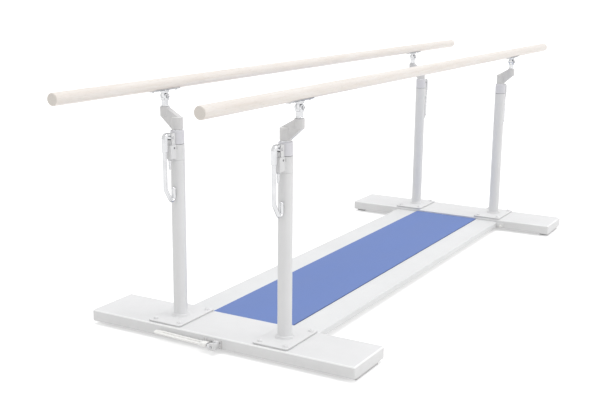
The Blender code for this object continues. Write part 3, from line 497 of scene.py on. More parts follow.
def eased(shape, width, steps=3, angle=30):
    """Rounds every edge that is sharper than an angle in degrees."""
    edges = [e for e in shape.edges if len(e.link_faces) == 2
             and e.calc_face_angle(0) > math.radians(angle)]
    bmesh.ops.bevel(shape, geom=edges, offset=width, segments=steps, profile=0.5,
                    affect="EDGES", clamp_overlap=True)
    return shape


def moved(shape, offset=(0, 0, 0), turn=0.0, axis="Z"):
    """The shape turned about an axis by degrees, then moved."""
    matrix = Matrix.Translation(offset) @ Matrix.Rotation(math.radians(turn), 4, axis)
    bmesh.ops.transform(shape, matrix=matrix, verts=shape.verts)
    return shape


def upright(outline, near, far):
    """A (y, z) outline extruded along X, between two places in either order."""
    matrix = Matrix(((0, 0, 1, 0), (1, 0, 0, 0), (0, 1, 0, 0), (0, 0, 0, 1)))
    shape = extruded(outline, *sorted((near, far)))
    bmesh.ops.transform(shape, matrix=matrix, verts=shape.verts)
    return shape


def bent(corners, radius, steps=10):
    """A path through the corners, each of them bent to a radius."""
    points = [Vector(c) for c in corners]
    path = [points[0]]
    for before, corner, after in zip(points, points[1:], points[2:]):
        a, b = before - corner, after - corner
        half = a.angle(b) / 2
        reach = min(radius / math.tan(half), 0.49 * min(a.length, b.length))
        center = corner + (a.normalized() + b.normalized()).normalized() * (reach / math.cos(half))
        start, end = (corner + way.normalized() * reach - center for way in (a, b))
        sweep = start.angle(end)
        path += [center + (start * math.sin((1 - i / steps) * sweep)
                           + end * math.sin(i / steps * sweep)) / math.sin(sweep)
                 for i in range(steps + 1)]
    return path + [points[-1]]


def swept(path, radius, sides=24, round_steps=5):
    """A round bar along a path, with ends rounded over."""
    ways = [(b - a).normalized() for a, b in zip(path, path[1:])]
    ways = [ways[0]] + [(a + b).normalized() for a, b in zip(ways, ways[1:])] + [ways[-1]]
    first, last = ways[0], ways[-1]
    turns = [math.pi / 2 * i / round_steps for i in range(1, round_steps)]
    stations = [(path[0] - first * radius * (math.cos(t) - 1), first, radius * math.sin(t))
                for t in turns]
    inner = [path[0] + first * radius, *path[1:-1], path[-1] - last * radius]
    stations += [(point, way, radius) for point, way in zip(inner, ways)]
    stations += [(path[-1] + last * radius * (math.cos(t) - 1), last, radius * math.sin(t))
                 for t in reversed(turns)]
    shape, side = bmesh.new(), first.orthogonal().normalized()
    rings = [[shape.verts.new(path[0])]]
    for point, way, reach in stations:
        side = (side - way * side.dot(way)).normalized()
        other = way.cross(side)
        rings.append([shape.verts.new(point + reach * (side * math.cos(a) + other * math.sin(a)))
                      for a in circle(sides)])
    rings.append([shape.verts.new(path[-1])])
    joined(shape, zip(rings, rings[1:]))
    return closed(shape)


def plated(*grids):
    """A closed plate between two grids of points."""
    shape = bmesh.new()
    grids = [[[shape.verts.new(point) for point in row] for row in grid] for grid in grids]
    m, n = len(grids[0]) - 1, len(grids[0][0]) - 1
    for grid in grids:
        for i in range(m):
            for j in range(n):
                shape.faces.new((grid[i][j], grid[i + 1][j], grid[i + 1][j + 1], grid[i][j + 1]))
    rim = ([(i, 0) for i in range(m)] + [(m, j) for j in range(n)]
           + [(i, n) for i in range(m, 0, -1)] + [(0, j) for j in range(n, 0, -1)])
    joined(shape, [[[grid[i][j] for i, j in rim] for grid in grids]])
    return closed(shape)


def placed(spot, turn=0.0):
    """The place of a shape about Z on a spot, turned by degrees."""
    return (Matrix.Translation((spot.x, spot.y, 0))
            @ Matrix.Rotation(math.radians(turn), 4, "Z"))


def at_post(corner):
    """The place of a shape whose outer side faces -Y, on a post's axis."""
    return placed(POST[corner], 90 + 90 * CORNERS[corner][0])


def show(name, mesh, body, node=None):
    """An object of the mesh that rides on a body, and may stand for a node of the frame."""
    mesh.shade_smooth()
    mesh.set_sharp_from_angle(angle=SHARP)
    piece = bpy.data.objects.new(name, mesh)
    bpy.context.scene.collection.objects.link(piece)
    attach(piece, body)
    if node:
        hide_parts(node)
    return piece


def make(name, body, node, *coats, place=Matrix()):
    """A piece of closed shapes; a coat is a finish and its shapes, the first is its slot."""
    finishes = list(dict.fromkeys(finish for finish, *_ in coats))
    whole = bmesh.new()
    for finish, shape in [(finish, shape) for finish, *shapes in coats for shape in shapes]:
        for face in shape.faces:
            face.material_index = finishes.index(finish)
        shell = bpy.data.meshes.new(name)
        shape.to_mesh(shell)
        shape.free()
        whole.from_mesh(shell)
        bpy.data.meshes.remove(shell)
    bmesh.ops.transform(whole, matrix=place, verts=whole.verts)
    mesh = bpy.data.meshes.new(name)
    whole.to_mesh(mesh)
    whole.free()
    for finish in finishes:
        mesh.materials.append(FINISHES[finish])
    return show(name, mesh, body, node)


def dress(finish, *nodes):
    """Gives nodes of the frame a finish, and leaves their shape."""
    for node in nodes:
        for slot in frame["nodes"][node].material_slots:
            slot.material = FINISHES[finish]


# Geometry node trees

def growing(name, draw, *sockets):
    """A tree that sets what draw gives on points, realized and in its finish."""
    TREES[name] = tree = bpy.data.node_groups.new(name, "GeometryNodeTree")
    for label, kind, *default in (("Geometry", "Geometry"), *sockets, ("Finish", "Material")):
        socket = tree.interface.new_socket(label, in_out="INPUT", socket_type=f"NodeSocket{kind}")
        if default:
            socket.default_value = default[0]
    tree.interface.new_socket("Geometry", in_out="OUTPUT", socket_type="NodeSocketGeometry")
    given = tree.nodes.new("NodeGroupInput").outputs
    instance, rotation = draw(tree, given)
    copies = add(tree, "GeometryNodeInstanceOnPoints", {
        "Points": given["Geometry"], "Instance": instance, "Rotation": rotation})
    real = add(tree, "GeometryNodeRealizeInstances", {"Geometry": copies.outputs["Instances"]})
    finish = add(tree, "GeometryNodeSetMaterial", {
        "Geometry": real.outputs["Geometry"], "Material": given["Finish"]})
    add(tree, "NodeGroupOutput", {"Geometry": finish.outputs["Geometry"]})


def fastener(tree, given):
    """A head along its point's axis, turned at random about it."""
    axis = add(tree, "GeometryNodeInputNamedAttribute", {"Name": "axis"}, data_type="FLOAT_VECTOR")
    stand = add(tree, "FunctionNodeAlignRotationToVector", {
        "Vector": axis.outputs["Attribute"]}, axis="Z")
    chance = add(tree, "FunctionNodeRandomValue", {
        2: 0.0, 3: 2 * math.pi, "Seed": given["Seed"]}, data_type="FLOAT")
    spin = add(tree, "FunctionNodeAxisAngleToRotation", {
        "Axis": (0, 0, 1), "Angle": chance.outputs[1]})
    both = add(tree, "FunctionNodeRotateRotation", {
        "Rotation": stand.outputs["Rotation"], "Rotate By": spin.outputs["Rotation"]},
        rotation_space="LOCAL")
    head = add(tree, "GeometryNodeObjectInfo", {"Object": given["Head"]})
    return head.outputs["Geometry"], both.outputs["Rotation"]


def weld_ring(tree, given):
    """A rippled ring of weld."""
    ring, bead = (add(tree, "GeometryNodeCurvePrimitiveCircle", {
        "Resolution": sides, "Radius": given[radius]}).outputs["Curve"]
        for sides, radius in ((120, "Ring Radius"), (10, "Bead Radius")))
    tube = add(tree, "GeometryNodeCurveToMesh", {"Curve": ring, "Profile Curve": bead})
    place = add(tree, "GeometryNodeInputPosition").outputs[0]
    x, y, _ = parts(tree, place)
    turn = maths(tree, "MULTIPLY", maths(tree, "ARCTAN2", y, x), given["Ripples"])
    uneven = add(tree, "ShaderNodeTexNoise", {
        "Vector": place, "W": given["Seed"], "Scale": 260.0, "Detail": 2.0}, noise_dimensions="4D")
    lumps = maths(tree, "SUBTRACT", uneven.outputs["Fac"], 0.5)
    swell = maths(tree, "ADD", maths(tree, "MULTIPLY", maths(tree, "SINE", turn), 0.10),
                  maths(tree, "MULTIPLY", lumps, 0.35))
    push = add(tree, "ShaderNodeVectorMath", {
        0: add(tree, "GeometryNodeInputNormal").outputs[0],
        "Scale": maths(tree, "MULTIPLY", swell, given["Bead Radius"])}, operation="SCALE")
    rippled = add(tree, "GeometryNodeSetPosition", {
        "Geometry": tube.outputs["Mesh"], "Offset": push.outputs[0]})
    return rippled.outputs["Geometry"], None


def make_trees():
    """The trees that set fasteners and welds."""
    growing("Fasteners", fastener, ("Head", "Object"), ("Seed", "Int", 7))
    growing("Round Welds", weld_ring, ("Ring Radius", "Float", 0.02),
            ("Bead Radius", "Float", 0.002), ("Ripples", "Int", 40), ("Seed", "Int", 3))


def grown(name, tree, places, body, slot, finish=None, **values):
    """A piece that a geometry tree grows on (point, axis) places."""
    points = bpy.data.meshes.new(name)
    points.from_pydata([p for p, _ in places], [], [])
    axis = points.attributes.new("axis", "FLOAT_VECTOR", "POINT")
    axis.data.foreach_set("vector", [c for _, direction in places for c in direction])
    seed_bed = bpy.data.objects.new(f"{name}_points", points)
    bpy.context.scene.collection.objects.link(seed_bed)
    growth = seed_bed.modifiers.new(tree, "NODES")
    growth.node_group = TREES[tree]
    sockets = {item.name: item.identifier for item in TREES[tree].interface.items_tree
               if item.in_out == "INPUT"}
    for label, value in {"Finish": FINISHES[finish or slot], **values}.items():
        growth[sockets[label.replace("_", " ")]] = value
    depsgraph = bpy.context.evaluated_depsgraph_get()
    mesh = bpy.data.meshes.new_from_object(seed_bed.evaluated_get(depsgraph))
    mesh.name = name
    bpy.data.objects.remove(seed_bed)
    if not mesh.polygons:
        raise RuntimeError(f"nothing grew for {name}")
    return show(name, mesh, body)


def fastened(name, places, body, seed, head, slot="zinc_plate", finish=None):
    """Fasteners on (point, axis) places, with the sizes of their heads."""
    pattern = head_pattern(*head)
    grown(name, "Fasteners", places, body, slot, finish, Head=pattern, Seed=seed)
    bpy.data.objects.remove(pattern)


def head_pattern(diameter, height, socket, washer=0.0):
    """A low domed bolt head about the origin, with a socket and maybe a washer below."""
    radius, steps = diameter / 2, 7
    base = height * 0.25 if washer else 0.0
    profile = [(0, -0.001)]
    if washer:
        profile += [(washer / 2 - 0.0003, -0.001), (washer / 2, -0.0007),
                    (washer / 2, base - 0.0003), (washer / 2 - 0.0003, base)]
    else:
        profile += [(radius, -0.001)]
    rise = height - base
    dome = [(radius * math.cos(a), base + rise * (0.25 + 0.75 * math.sin(a)))
            for a in (math.radians(8 + 74 * i / steps) for i in range(steps + 1))]
    crest = dome[-1][1]
    depth = crest - rise * 0.6
    profile += [(radius, base), *dome, (socket / 2, crest + rise * 0.01),
                (socket / 2 * 0.94, depth), (0, depth)]
    shape = turned(profile, 24)
    mesh = bpy.data.meshes.new("fastener_head")
    shape.to_mesh(mesh)
    shape.free()
    pattern = bpy.data.objects.new("fastener_head", mesh)
    bpy.context.scene.collection.objects.link(pattern)
    return pattern


# The pieces

def build_handrails(sizes):
    """Both rails, with the screws that hold them to their saddles."""
    half, turn = (high("handrail_left").y - low("handrail_left").y) / 2, 0.0042
    screw_height = RAIL_HEIGHT - RAIL_RADIUS - 0.0031
    for side in SIDES:
        x = middle(f"handrail_{side}").x
        end = arc((RAIL_RADIUS - turn, half - turn), turn, 0, 90, 7)
        # Rings along the bar keep its long faces short
        along = [(RAIL_RADIUS, -half + turn + (2 * (half - turn)) * i / 30) for i in range(1, 30)]
        profile = [(0, -half), *((r, -z) for r, z in reversed(end)), *along, *end, (0, half)]
        bar = moved(turned(profile, ROUND), (x, 0, RAIL_HEIGHT), 90, "X")
        make(f"handrail_bar_{side}", f"rail_{side}", f"handrail_{side}", ("pale_wood", bar))
        places = [((x, HEAD[f"{end}_{side}"].y + step * sizes.saddle_screw_reach, screw_height),
                   (0, 0, -1)) for end in ENDS for step in BOTH]
        fastened(f"saddle_screws_{side}", places, f"rail_{side}", 11,
                 (sizes.saddle_screw, 0.0022, 0.0034))


def saddle_cradle():
    """The curved plate under a rail, long and round at both ends."""
    inner, outer = RAIL_RADIUS + GAP, RAIL_RADIUS + GAP + 0.0028
    half, end, across = 0.075, 0.015, 16
    middle_half = half - end
    ends = [middle_half + end * math.sin(math.radians(90 * i / 12)) for i in range(13)]
    grids = []
    for radius in (outer, inner):
        grid = []
        for y in [-y for y in reversed(ends)] + ends:
            over = max(0.0, abs(y) - middle_half)
            spread = math.asin(max(0.0008, math.sqrt(max(0.0, end * end - over * over))) / outer)
            grid.append([(radius * math.sin(a), y, RAIL_HEIGHT - radius * math.cos(a))
                         for a in (spread * (2 * i / across - 1) for i in range(across + 1))])
        grids.append(grid)
    return plated(*grids)


def build_swivels():
    """Saddles, forks, pivot bolts and crank arms at the four corners."""
    pivot, bottom = (0, PIVOT_HEIGHT), RAIL_HEIGHT - RAIL_RADIUS - GAP
    for corner, (end, side) in CORNERS.items():
        place, side_name = placed(HEAD[corner]), corner.split("_")[1]
        rail_body = f"rail_{side_name}"
        cradle = eased(saddle_cradle(), 0.0005, 2, 50)
        hub = extruded(rounded(0.021, 0.021, 0.003, 5), bottom - 0.0093, bottom + 0.001)
        # A slim foot spreads the hub under the cradle
        foot = extruded(rounded(0.0225, 0.034, 0.009, 8), bottom - 0.0052, bottom)
        outline = arc(pivot, 0.0095, 180, 360, 20) + [(0.0095, bottom), (-0.0095, bottom)]
        tongue = eased(upright(outline, -0.0045, 0.0045), 0.0006, 2)
        make(f"rail_cradle_{corner}", rail_body, f"rail_saddle_{corner}",
             ("bright_chrome", cradle, eased(hub, 0.0008), eased(foot, 0.0016, 4), tongue),
             place=place)

        fork = [turned([
            (0, ARM_TOP - 0.024), (0.006, ARM_TOP - 0.024), (0.006, ARM_TOP + GAP),
            (0.0107, ARM_TOP + GAP), (0.0115, ARM_TOP + 0.0011), (0.0115, ARM_TOP + 0.0038),
            (0.0111, ARM_TOP + 0.0046), (0.01025, ARM_TOP + 0.0056),
            (0.01025, PIVOT_HEIGHT - 0.0116), (0.0094, PIVOT_HEIGHT - 0.0108),
            (0, PIVOT_HEIGHT - 0.0108)])]
        outline = arc(pivot, 0.0105, -38, 218, 34)
        outline += [(-0.0078, PIVOT_HEIGHT - 0.0130), (0.0078, PIVOT_HEIGHT - 0.0130)]
        fork += [eased(upright(outline, cheek * 0.0048, cheek * 0.0115), 0.0008) for cheek in BOTH]
        # The slot's floor follows the round end of the saddle's tongue
        outline = arc(pivot, 0.0098, 205, 335, 24)
        outline += [(0.0088, PIVOT_HEIGHT - 0.0120), (-0.0088, PIVOT_HEIGHT - 0.0120)]
        fork.append(upright(outline, -0.0050, 0.0050))
        make(f"fork_{corner}", rail_body if end < 0 else f"head_rear_{side_name}",
             f"swivel_fork_{corner}", ("bright_chrome", *fork), place=place)

        near, far, radius = 0.0118, 0.0162, 0.00625
        half = [(0.004, near), (0.0060, near), (radius, near + 0.0004), (radius, near + 0.0020)]
        half += [(radius * math.cos(a), near + 0.0020 + 0.0024 * math.sin(a))
                 for a in (math.radians(12 * i) for i in range(1, 6))]
        half += [(0.0023, far - 0.00008), (0.0021, far - 0.0016), (0, far - 0.0016)]
        bolt = moved(turned(mirrored(half), 32), (0, 0, PIVOT_HEIGHT), 90, "Y")
        make(f"fork_bolt_{corner}", rail_body, f"pivot_bolt_{corner}", ("zinc_plate", bolt),
             place=place)
        build_arm(corner, side)


def build_arm(corner, side):
    """A crank arm: an upright eye at each end and a sloping web between them."""
    offset = abs(HEAD[corner].x - POST[corner].x)
    upper_bottom, lower_top, step = ARM_TOP - 0.0315, ARM_BOTTOM + 0.0395, 0.0006
    shapes = []
    for place, radius, bottom, top in ((0, 0.019, ARM_BOTTOM, lower_top),
                                       (offset, 0.016, upper_bottom, ARM_TOP)):
        eye = turned([(0, bottom), (radius - 0.0012, bottom), (radius, bottom + 0.0012),
                      *arc((radius - 0.0014, top - 0.0014), 0.0014, 0, 90, 6), (0, top)], ROUND)
        shapes.append(moved(eye, (place, 0, 0)))
    outline = [(0.0158, ARM_BOTTOM + step), (offset + 0.0118, upper_bottom + step),
               (offset + 0.0118, ARM_TOP - step), (offset - 0.008, ARM_TOP - step),
               (-0.013, lower_top + step), (-0.013, lower_top - 0.010)]
    web = eased(moved(extruded(outline, -0.0105, 0.0105), turn=90, axis="X"), 0.0016, 4, 20)
    # Painted highlight: a thin white disc on the flat top of the lower eye, for the top lamp's
    # gleam
    eye_top_highlight = turned([(0, lower_top - 0.0010), (0.0178, lower_top - 0.0010),
                   (0.0178, lower_top + 0.0001), (0.0177, lower_top + 0.0002),
                   (0, lower_top + 0.0002)], ROUND)
    make(f"arm_{corner}", f"arm_{corner}", f"crank_arm_{corner}",
         ("cast_grey", *shapes, web), ("white_coat_and_highlight", eye_top_highlight),
         place=placed(POST[corner], 90 - 90 * side))


def build_posts(sizes):
    """Base plates, foot rings and outer tubes, their welds and the plates' bolts."""
    plate_width, plate_length, thickness = 0.128, 0.198, 0.006
    bottom = BEAM_TOP + GAP
    top = bottom + thickness
    foot_radius, foot_top = 0.0285, top + 0.0070
    bolt_places = []
    for corner, (end, _) in CORNERS.items():
        post = POST[corner]
        plate_y = end * (abs(high("cross_beam_front").y) + plate_length / 2)
        plate = extruded(rounded(plate_width, plate_length, 0.008, 10), bottom, top)
        moved(eased(plate, 0.0013, 3, 60), (post.x, plate_y, 0))
        foot = turned([(TUBE_BORE, top - 0.001), (foot_radius, top - 0.001),
                       (foot_radius, top + 0.0048), (0.0281, top + 0.0060),
                       (0.0271, top + 0.0068), (0.0261, foot_top),
                       (TUBE_RADIUS - 0.0005, foot_top)], ROUND)
        tube = turned([(TUBE_BORE, top - 0.0005), (TUBE_RADIUS, top - 0.0005),
                       (TUBE_RADIUS, TUBE_TOP - 0.0006), (TUBE_RADIUS - 0.0006, TUBE_TOP),
                       (TUBE_BORE, TUBE_TOP)], ROUND)
        for shape in (foot, tube):
            moved(shape, (post.x, post.y, 0))
        make(f"post_tube_{corner}", "frame", f"post_{corner}",
             ("light_grey_paint", plate, foot, tube))
        x, y = (size / 2 - inset for size, inset in
                zip((plate_width, plate_length), sizes.plate_bolt_inset))
        bolt_places += [((post.x + i * x, plate_y + j * y, top), (0, 0, 1))
                        for i in BOTH for j in BOTH]
    fastened("plate_bolts", bolt_places, "frame", 5,
             (sizes.plate_bolt, 0.0072, 0.0060, sizes.plate_bolt * 1.22), "light_grey_paint")
    for name, radius, height, share in (("foot_welds", 0.0287, top + 0.0004, 1.0),
                                        ("tube_welds", TUBE_RADIUS + 0.0006, foot_top, 0.8)):
        places = [((POST[c].x, POST[c].y, height), (0, 0, 1)) for c in CORNERS]
        grown(name, "Round Welds", places, "frame", "light_grey_paint", Ring_Radius=radius,
              Bead_Radius=sizes.weld_bead * share, Ripples=sizes.weld_ripples)


def build_locks():
    """The lock on top of each post: ring, block, lug, pin, stud and collar."""
    bottom, top = TUBE_TOP + GAP, COLLAR_BOTTOM - GAP
    lug_top = high("lock_housing_front_left").z
    half, spigot, under = 0.0095, TUBE_BORE - GAP, bottom + 0.006
    front, back, slot_back = -0.0435, -COLLAR_RADIUS - GAP, -0.0285
    slot_bottom, corner_radius, lug_radius = LEVER_HEIGHT - 0.0085, 0.004, 0.006
    screw_places = []
    for corner in CORNERS:
        place = at_post(corner)
        ring = turned([(COLLAR_BORE, bottom - 0.040), (spigot, bottom - 0.040), (spigot, bottom),
                       (TUBE_RADIUS - 0.0006, bottom), (TUBE_RADIUS, bottom + 0.0006),
                       (TUBE_RADIUS, top - 0.0016), (TUBE_RADIUS - 0.0016, top),
                       (COLLAR_BORE, top)], ROUND)
        outline = [(half, -0.0180), (-half, -0.0180),
                   *arc((corner_radius - half, -0.044), corner_radius, 180, 270, 8),
                   *arc((half - corner_radius, -0.044), corner_radius, 270, 360, 8)]
        body = eased(extruded(outline, under, top), 0.0009, 3, 60)
        floor = [(front, top + 0.0003), (back, top + 0.0003), (back, lug_top)]
        web = floor + [(slot_back, lug_top), (slot_back, slot_bottom), (front, slot_bottom)]
        lug = [eased(upright(web, -half + 0.0004, half - 0.0004), 0.0003, 1)]
        side_view = floor + arc((lug_radius + front, lug_top - lug_radius), lug_radius, 90, 180, 8)
        lug += [eased(upright(side_view, cheek * 0.0073, cheek * half), 0.0005, 2, 50)
                for cheek in BOTH]
        seam = block((-half + 0.0006, half - 0.0006), (-0.0429, back), (top - 0.001, top + 0.001))
        # Painted shade: a dark ring laid in the groove round the top of the ring
        groove_shade = turned([(0.0175, top - 0.0013), (TUBE_RADIUS - 0.0011, top - 0.0013),
                         (TUBE_RADIUS - 0.0011, top + 0.0001), (0.0175, top + 0.0001)], ROUND)
        pin = turned(mirrored([
            (0.0035, half - 0.001), (0.00475, half - 0.001), (0.00475, half + 0.0009),
            (0.0043, half + 0.0015), (0.0032, half + 0.0019), (0, half + 0.0020)]), 28)
        moved(pin, (0, -LEVER_REACH, LEVER_HEIGHT), 90, "Y")
        stud = turned([(0, bottom - 0.028), (0.0030, bottom - 0.028), (0.0035, bottom - 0.0274),
                       (0.0043, bottom - 0.0185), (0.00475, bottom - 0.0160),
                       (0.00475, under + 0.001), (0, under + 0.001)], 32)
        nut = turned([(0, under - 0.0052), (0.0058, under - 0.0052), (0.0064, under - 0.0046),
                      (0.0064, under + 0.0004), (0, under + 0.0004)], 6)
        for shape in (stud, nut):
            moved(shape, (0, -0.0425, 0))
        # Painted shade: a dark block stands for the shade inside the ring's slit
        slit_shade = block((0.0120, 0.0127), (-0.0198, -0.0175), (top - 0.0155, top - 0.0050))
        make(f"lock_{corner}", "frame", f"lock_housing_{corner}",
             ("light_grey_paint", ring, body, *lug), ("shade_and_dark_parts", seam, groove_shade),
             ("zinc_plate", pin), ("bright_chrome", stud), ("zinc_plate", nut),
             ("shade_and_dark_parts", slit_shade), place=place)
        screw_places += [(tuple(place @ Vector((cheek * half, -0.0295, top - 0.010))),
                          tuple(place.to_3x3() @ Vector((cheek, 0, 0)))) for cheek in BOTH]

        rim = arc((COLLAR_RADIUS - 0.0022, COLLAR_TOP - 0.0022), 0.0022, 0, 90, 8)
        collar = turned([(COLLAR_BORE, COLLAR_BOTTOM), (COLLAR_RADIUS - 0.0014, COLLAR_BOTTOM),
                         (COLLAR_RADIUS, COLLAR_BOTTOM + 0.0014), *rim,
                         (COLLAR_BORE + 0.0004, COLLAR_TOP), (COLLAR_BORE, COLLAR_TOP - 0.0004)],
                        ROUND)
        shadow = turned([(radius, COLLAR_BOTTOM + height) for radius, height in (
            (0.0175, 0.0001), (COLLAR_RADIUS - 0.0009, 0.0001), (COLLAR_RADIUS - 0.0009, 0.0010),
            (0.0175, 0.0010))], ROUND)
        make(f"collar_{corner}", "frame", f"guide_collar_{corner}", ("white_plastic", collar),
             ("shade_and_dark_parts", shadow), place=place)
    fastened("lock_screws", screw_places, "frame", 21, (0.0066, 0.0012, 0.0032),
             finish="shade_and_dark_parts")


def build_levers():
    """The release levers: a curved shank and a round handle with a hooked end."""
    half, hub_radius = 0.007, 0.0075
    front, depth, top, thickness, drop = 0.038, 0.015, 0.015, 0.0075, 0.044
    back, out, outer_bend, inner_bend = front - depth, depth / 2 - front, 0.018, 0.0095
    for corner in CORNERS:
        outline = [(0, hub_radius - 0.001), (hub_radius, top),
                   *arc((front - outer_bend, top - outer_bend), outer_bend, 90, 0, 18),
                   (front, -drop), (back, -drop),
                   *arc((back - inner_bend, top - thickness - inner_bend), inner_bend, 0, 90, 12),
                   (hub_radius - 0.002, 0.001)]
        shank = eased(upright([(-y, z) for y, z in outline], -half, half), 0.0013, 3, 60)
        hub = moved(turned(mirrored([(hub_radius, half - 0.0007), (hub_radius - 0.0007, half),
                                     (0, half)]), 40), turn=90, axis="Y")
        path = bent([(0, out, depth - drop - 0.002), (0, out, -0.165), (0.005, out + 0.036, -0.228),
                     (0.005, out + 0.036, -0.161)], 0.020)
        # A thin ring hides the joint of shank and handle
        ferrule = turned([(0, -drop - 0.0022), (0.0070, -drop - 0.0022), (0.0075, -drop - 0.0014),
                          (0.0075, -drop + 0.0005), (0, -drop + 0.0005)], 32)
        shapes = [shank, hub, swept(path, 0.00675, 28), moved(ferrule, (0, out, 0))]
        for shape in shapes:
            moved(shape, (0, -LEVER_REACH, LEVER_HEIGHT))
        make(f"lever_{corner}", f"lever_{corner}", f"release_lever_{corner}",
             ("bright_chrome", *shapes), place=at_post(corner))


def build_platform(sizes):
    """Cross beams, floor pads, the board with its bolts, and the mat."""
    for end in ENDS:
        node = f"cross_beam_{end}"
        lowest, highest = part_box(node)
        width, length, _ = highest - lowest
        sections = [(0.022, lowest.z), (0.0022, lowest.z), (0.0006, lowest.z + 0.0006),
                    (0.0, lowest.z + 0.0022)]
        sections += [(0.005 - 0.005 * math.cos(a), highest.z - 0.005 + 0.005 * math.sin(a))
                     for a in (math.radians(11.25 * i) for i in range(9))]
        tray = bmesh.new()
        rings = [[tray.verts.new((x, y, z)) for x, y in rounded(
            width - 2 * inset, length - 2 * inset, max(0.0004, 0.0052 - inset), 6)]
            for inset, z in sections]
        joined(tray, zip(rings, rings[1:]))
        tray.faces.new(rings[-1])
        bmesh.ops.solidify(closed(tray), geom=tray.faces[:], thickness=0.0025)
        moved(closed(tray), (0, (lowest.y + highest.y) / 2, 0))
        make(f"beam_tray_{end}", "frame", node, ("light_grey_paint", tray))
    for corner in CORNERS:
        node = f"floor_pad_{corner}"
        x, y, height = high(node) - low(node)
        pad = eased(extruded(rounded(x, y, 0.004, 5), 0, height), 0.0016, 3, 60)
        make(f"floor_foot_{corner}", "frame", node, ("rubber", pad), place=placed(middle(node)))

    lowest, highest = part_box("platform_board")
    half_width, half_length = 0.256, highest.y
    board = eased(block((-half_width, half_width), (-half_length, half_length),
                        (lowest.z + 0.0035, highest.z)), 0.0022, 4)
    tabs, bolt_places = [], []
    for i in BOTH:
        for j in BOTH:
            x = sorted((i * (half_width - 0.004), i * highest.x))
            y = sorted((j * half_length, j * (half_length - 0.005)))
            tabs.append(eased(block(x, y, (lowest.z, lowest.z + 0.023)), 0.0009, 2))
            bolt_places.append(((i * (half_width + 0.0200), j * (half_length - 0.005),
                                 lowest.z + 0.0095), (0, -j, 0)))
    make("board", "frame", "platform_board", ("board_coating", board), ("light_grey_paint", *tabs))
    fastened("tab_bolts", bolt_places, "frame", 2,
             (sizes.tab_bolt, 0.0052, 0.0050, sizes.tab_bolt * 1.25), finish="white_coat_and_highlight")
    build_mat()


def build_mat():
    """The thin mat, laid on the board, with soft edges and a slight wave."""
    lowest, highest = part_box("walking_mat")
    half_width, half_length, thickness = highest.x, highest.y, highest.z - lowest.z
    columns, rows, soft = 36, 190, 0.0018

    def spots(half, count):
        """Places from edge to edge, closer together at the rounded edges."""
        inner = half - soft
        edge = [inner + soft * math.sin(math.radians(22.5 * i)) for i in range(5)]
        between = [inner * (2 * i / count - 1) for i in range(1, count)]
        return [-e for e in reversed(edge)] + between + edge

    def rim(value, half):
        """How far the edge's round lowers the mat's top at a place."""
        over = max(0.0, abs(value) - (half - soft)) / soft
        return soft * (1 - math.sqrt(max(0.0, 1 - over * over)))

    def top(x, y):
        """Height of the mat's top."""
        down = min(thickness * 0.75, rim(x, half_width) + rim(y, half_length))
        wave = 0.00012 * (math.sin(9.1 * y + 3 * x) + math.sin(23.7 * y - 11 * x))
        return highest.z - down + (wave - 0.00024 if down < 1e-6 else 0)

    xs, ys = spots(half_width, columns), spots(half_length, rows)
    shape = plated([[(x, y, top(x, y)) for y in ys] for x in xs],
                   [[(x, y, lowest.z) for y in ys] for x in xs])
    piece = make("tread_mat", "frame", "walking_mat", ("blue_mat", shape))


def build_base_lever():
    """The foot lever on the front beam: bracket, pins, root, ferrule and wire loop."""
    pivot, face = middle("base_lever_bracket"), high("base_lever_bracket").y
    axle = face - 0.019
    plate = eased(block((-0.020, 0.020), (face - 0.004, face), (-0.014, 0.014)), 0.0008, 2)
    clevis = []
    for y_near, y_far in ((axle + 0.0073, face - 0.003), (face - 0.034, axle - 0.0073)):
        cheek = extruded(rounded(0.020, 0.024, 0.0035, 6), y_near - y_far, 0)
        clevis.append(eased(moved(cheek, (0.002, y_near, 0), 90, "X"), 0.0007, 2, 60))
    clevis.append(eased(block((0.0075, 0.0124), (face - 0.0344, face - 0.003), (-0.0116, 0.0116)),
                        0.0006, 2))
    pin = turned([(0, -0.0375), (0.0038, -0.0375), (0.0048, -0.0368), (0.0048, -0.0345),
                  (0.0035, -0.0343), (0.0035, -0.003), (0, -0.003)], 28)
    # Two upright pins on a strap beside the bracket stop the lever's ferrule
    strap = eased(block((-0.054, -0.018), (face - 0.0022, face), (-0.009, 0.0135)), 0.0006, 2)
    stops = [moved(turned([(0, -0.006), (0.0019, -0.006), (0.0019, 0.0145), (0.0014, 0.0155),
                           (0, 0.0155)], 20), (x, face - 0.0038, 0)) for x in (-0.049, -0.039)]
    make("foot_lever_bracket", "frame", "base_lever_bracket", ("cast_grey", plate),
         ("light_grey_paint", *clevis), ("zinc_plate", moved(pin, (0, face, 0), -90, "X")),
         ("cast_grey", strap), ("light_grey_paint", *stops),
         place=Matrix.Translation((pivot.x, 0, pivot.z)))
    places = [((pivot.x + i * 0.0160, face - 0.004, pivot.z + 0.007), (0, -1, 0)) for i in BOTH]
    fastened("bracket_screws", places, "frame", 4, (0.0062, 0.0022, 0.0028))

    root = turned(mirrored([(0.0075, 0.0063), (0.0068, 0.007), (0, 0.007)]), 40)
    neck = eased(block((-0.024, 0.0), (-0.007, 0.007), (-0.005, 0.005)), 0.0012)
    ferrule = eased(block((-0.044, -0.022), (-0.0125, 0.0125), (-0.00575, 0.00575)), 0.0022, 4)
    leg = [(-0.033, 0.008, 0), (-0.200, 0.008, 0.004), (-0.228, 0.005, 0.004)]
    loop = swept(bent(leg + [(x, -y, z) for x, y, z in reversed(leg)], 0.010, 8), 0.004)
    make("foot_lever", "base_lever", "base_lever",
         ("bright_chrome", moved(root, turn=90, axis="X"), neck), ("white_coat_and_highlight", ferrule, loop),
         place=Matrix.Translation((pivot.x, axle, pivot.z)))


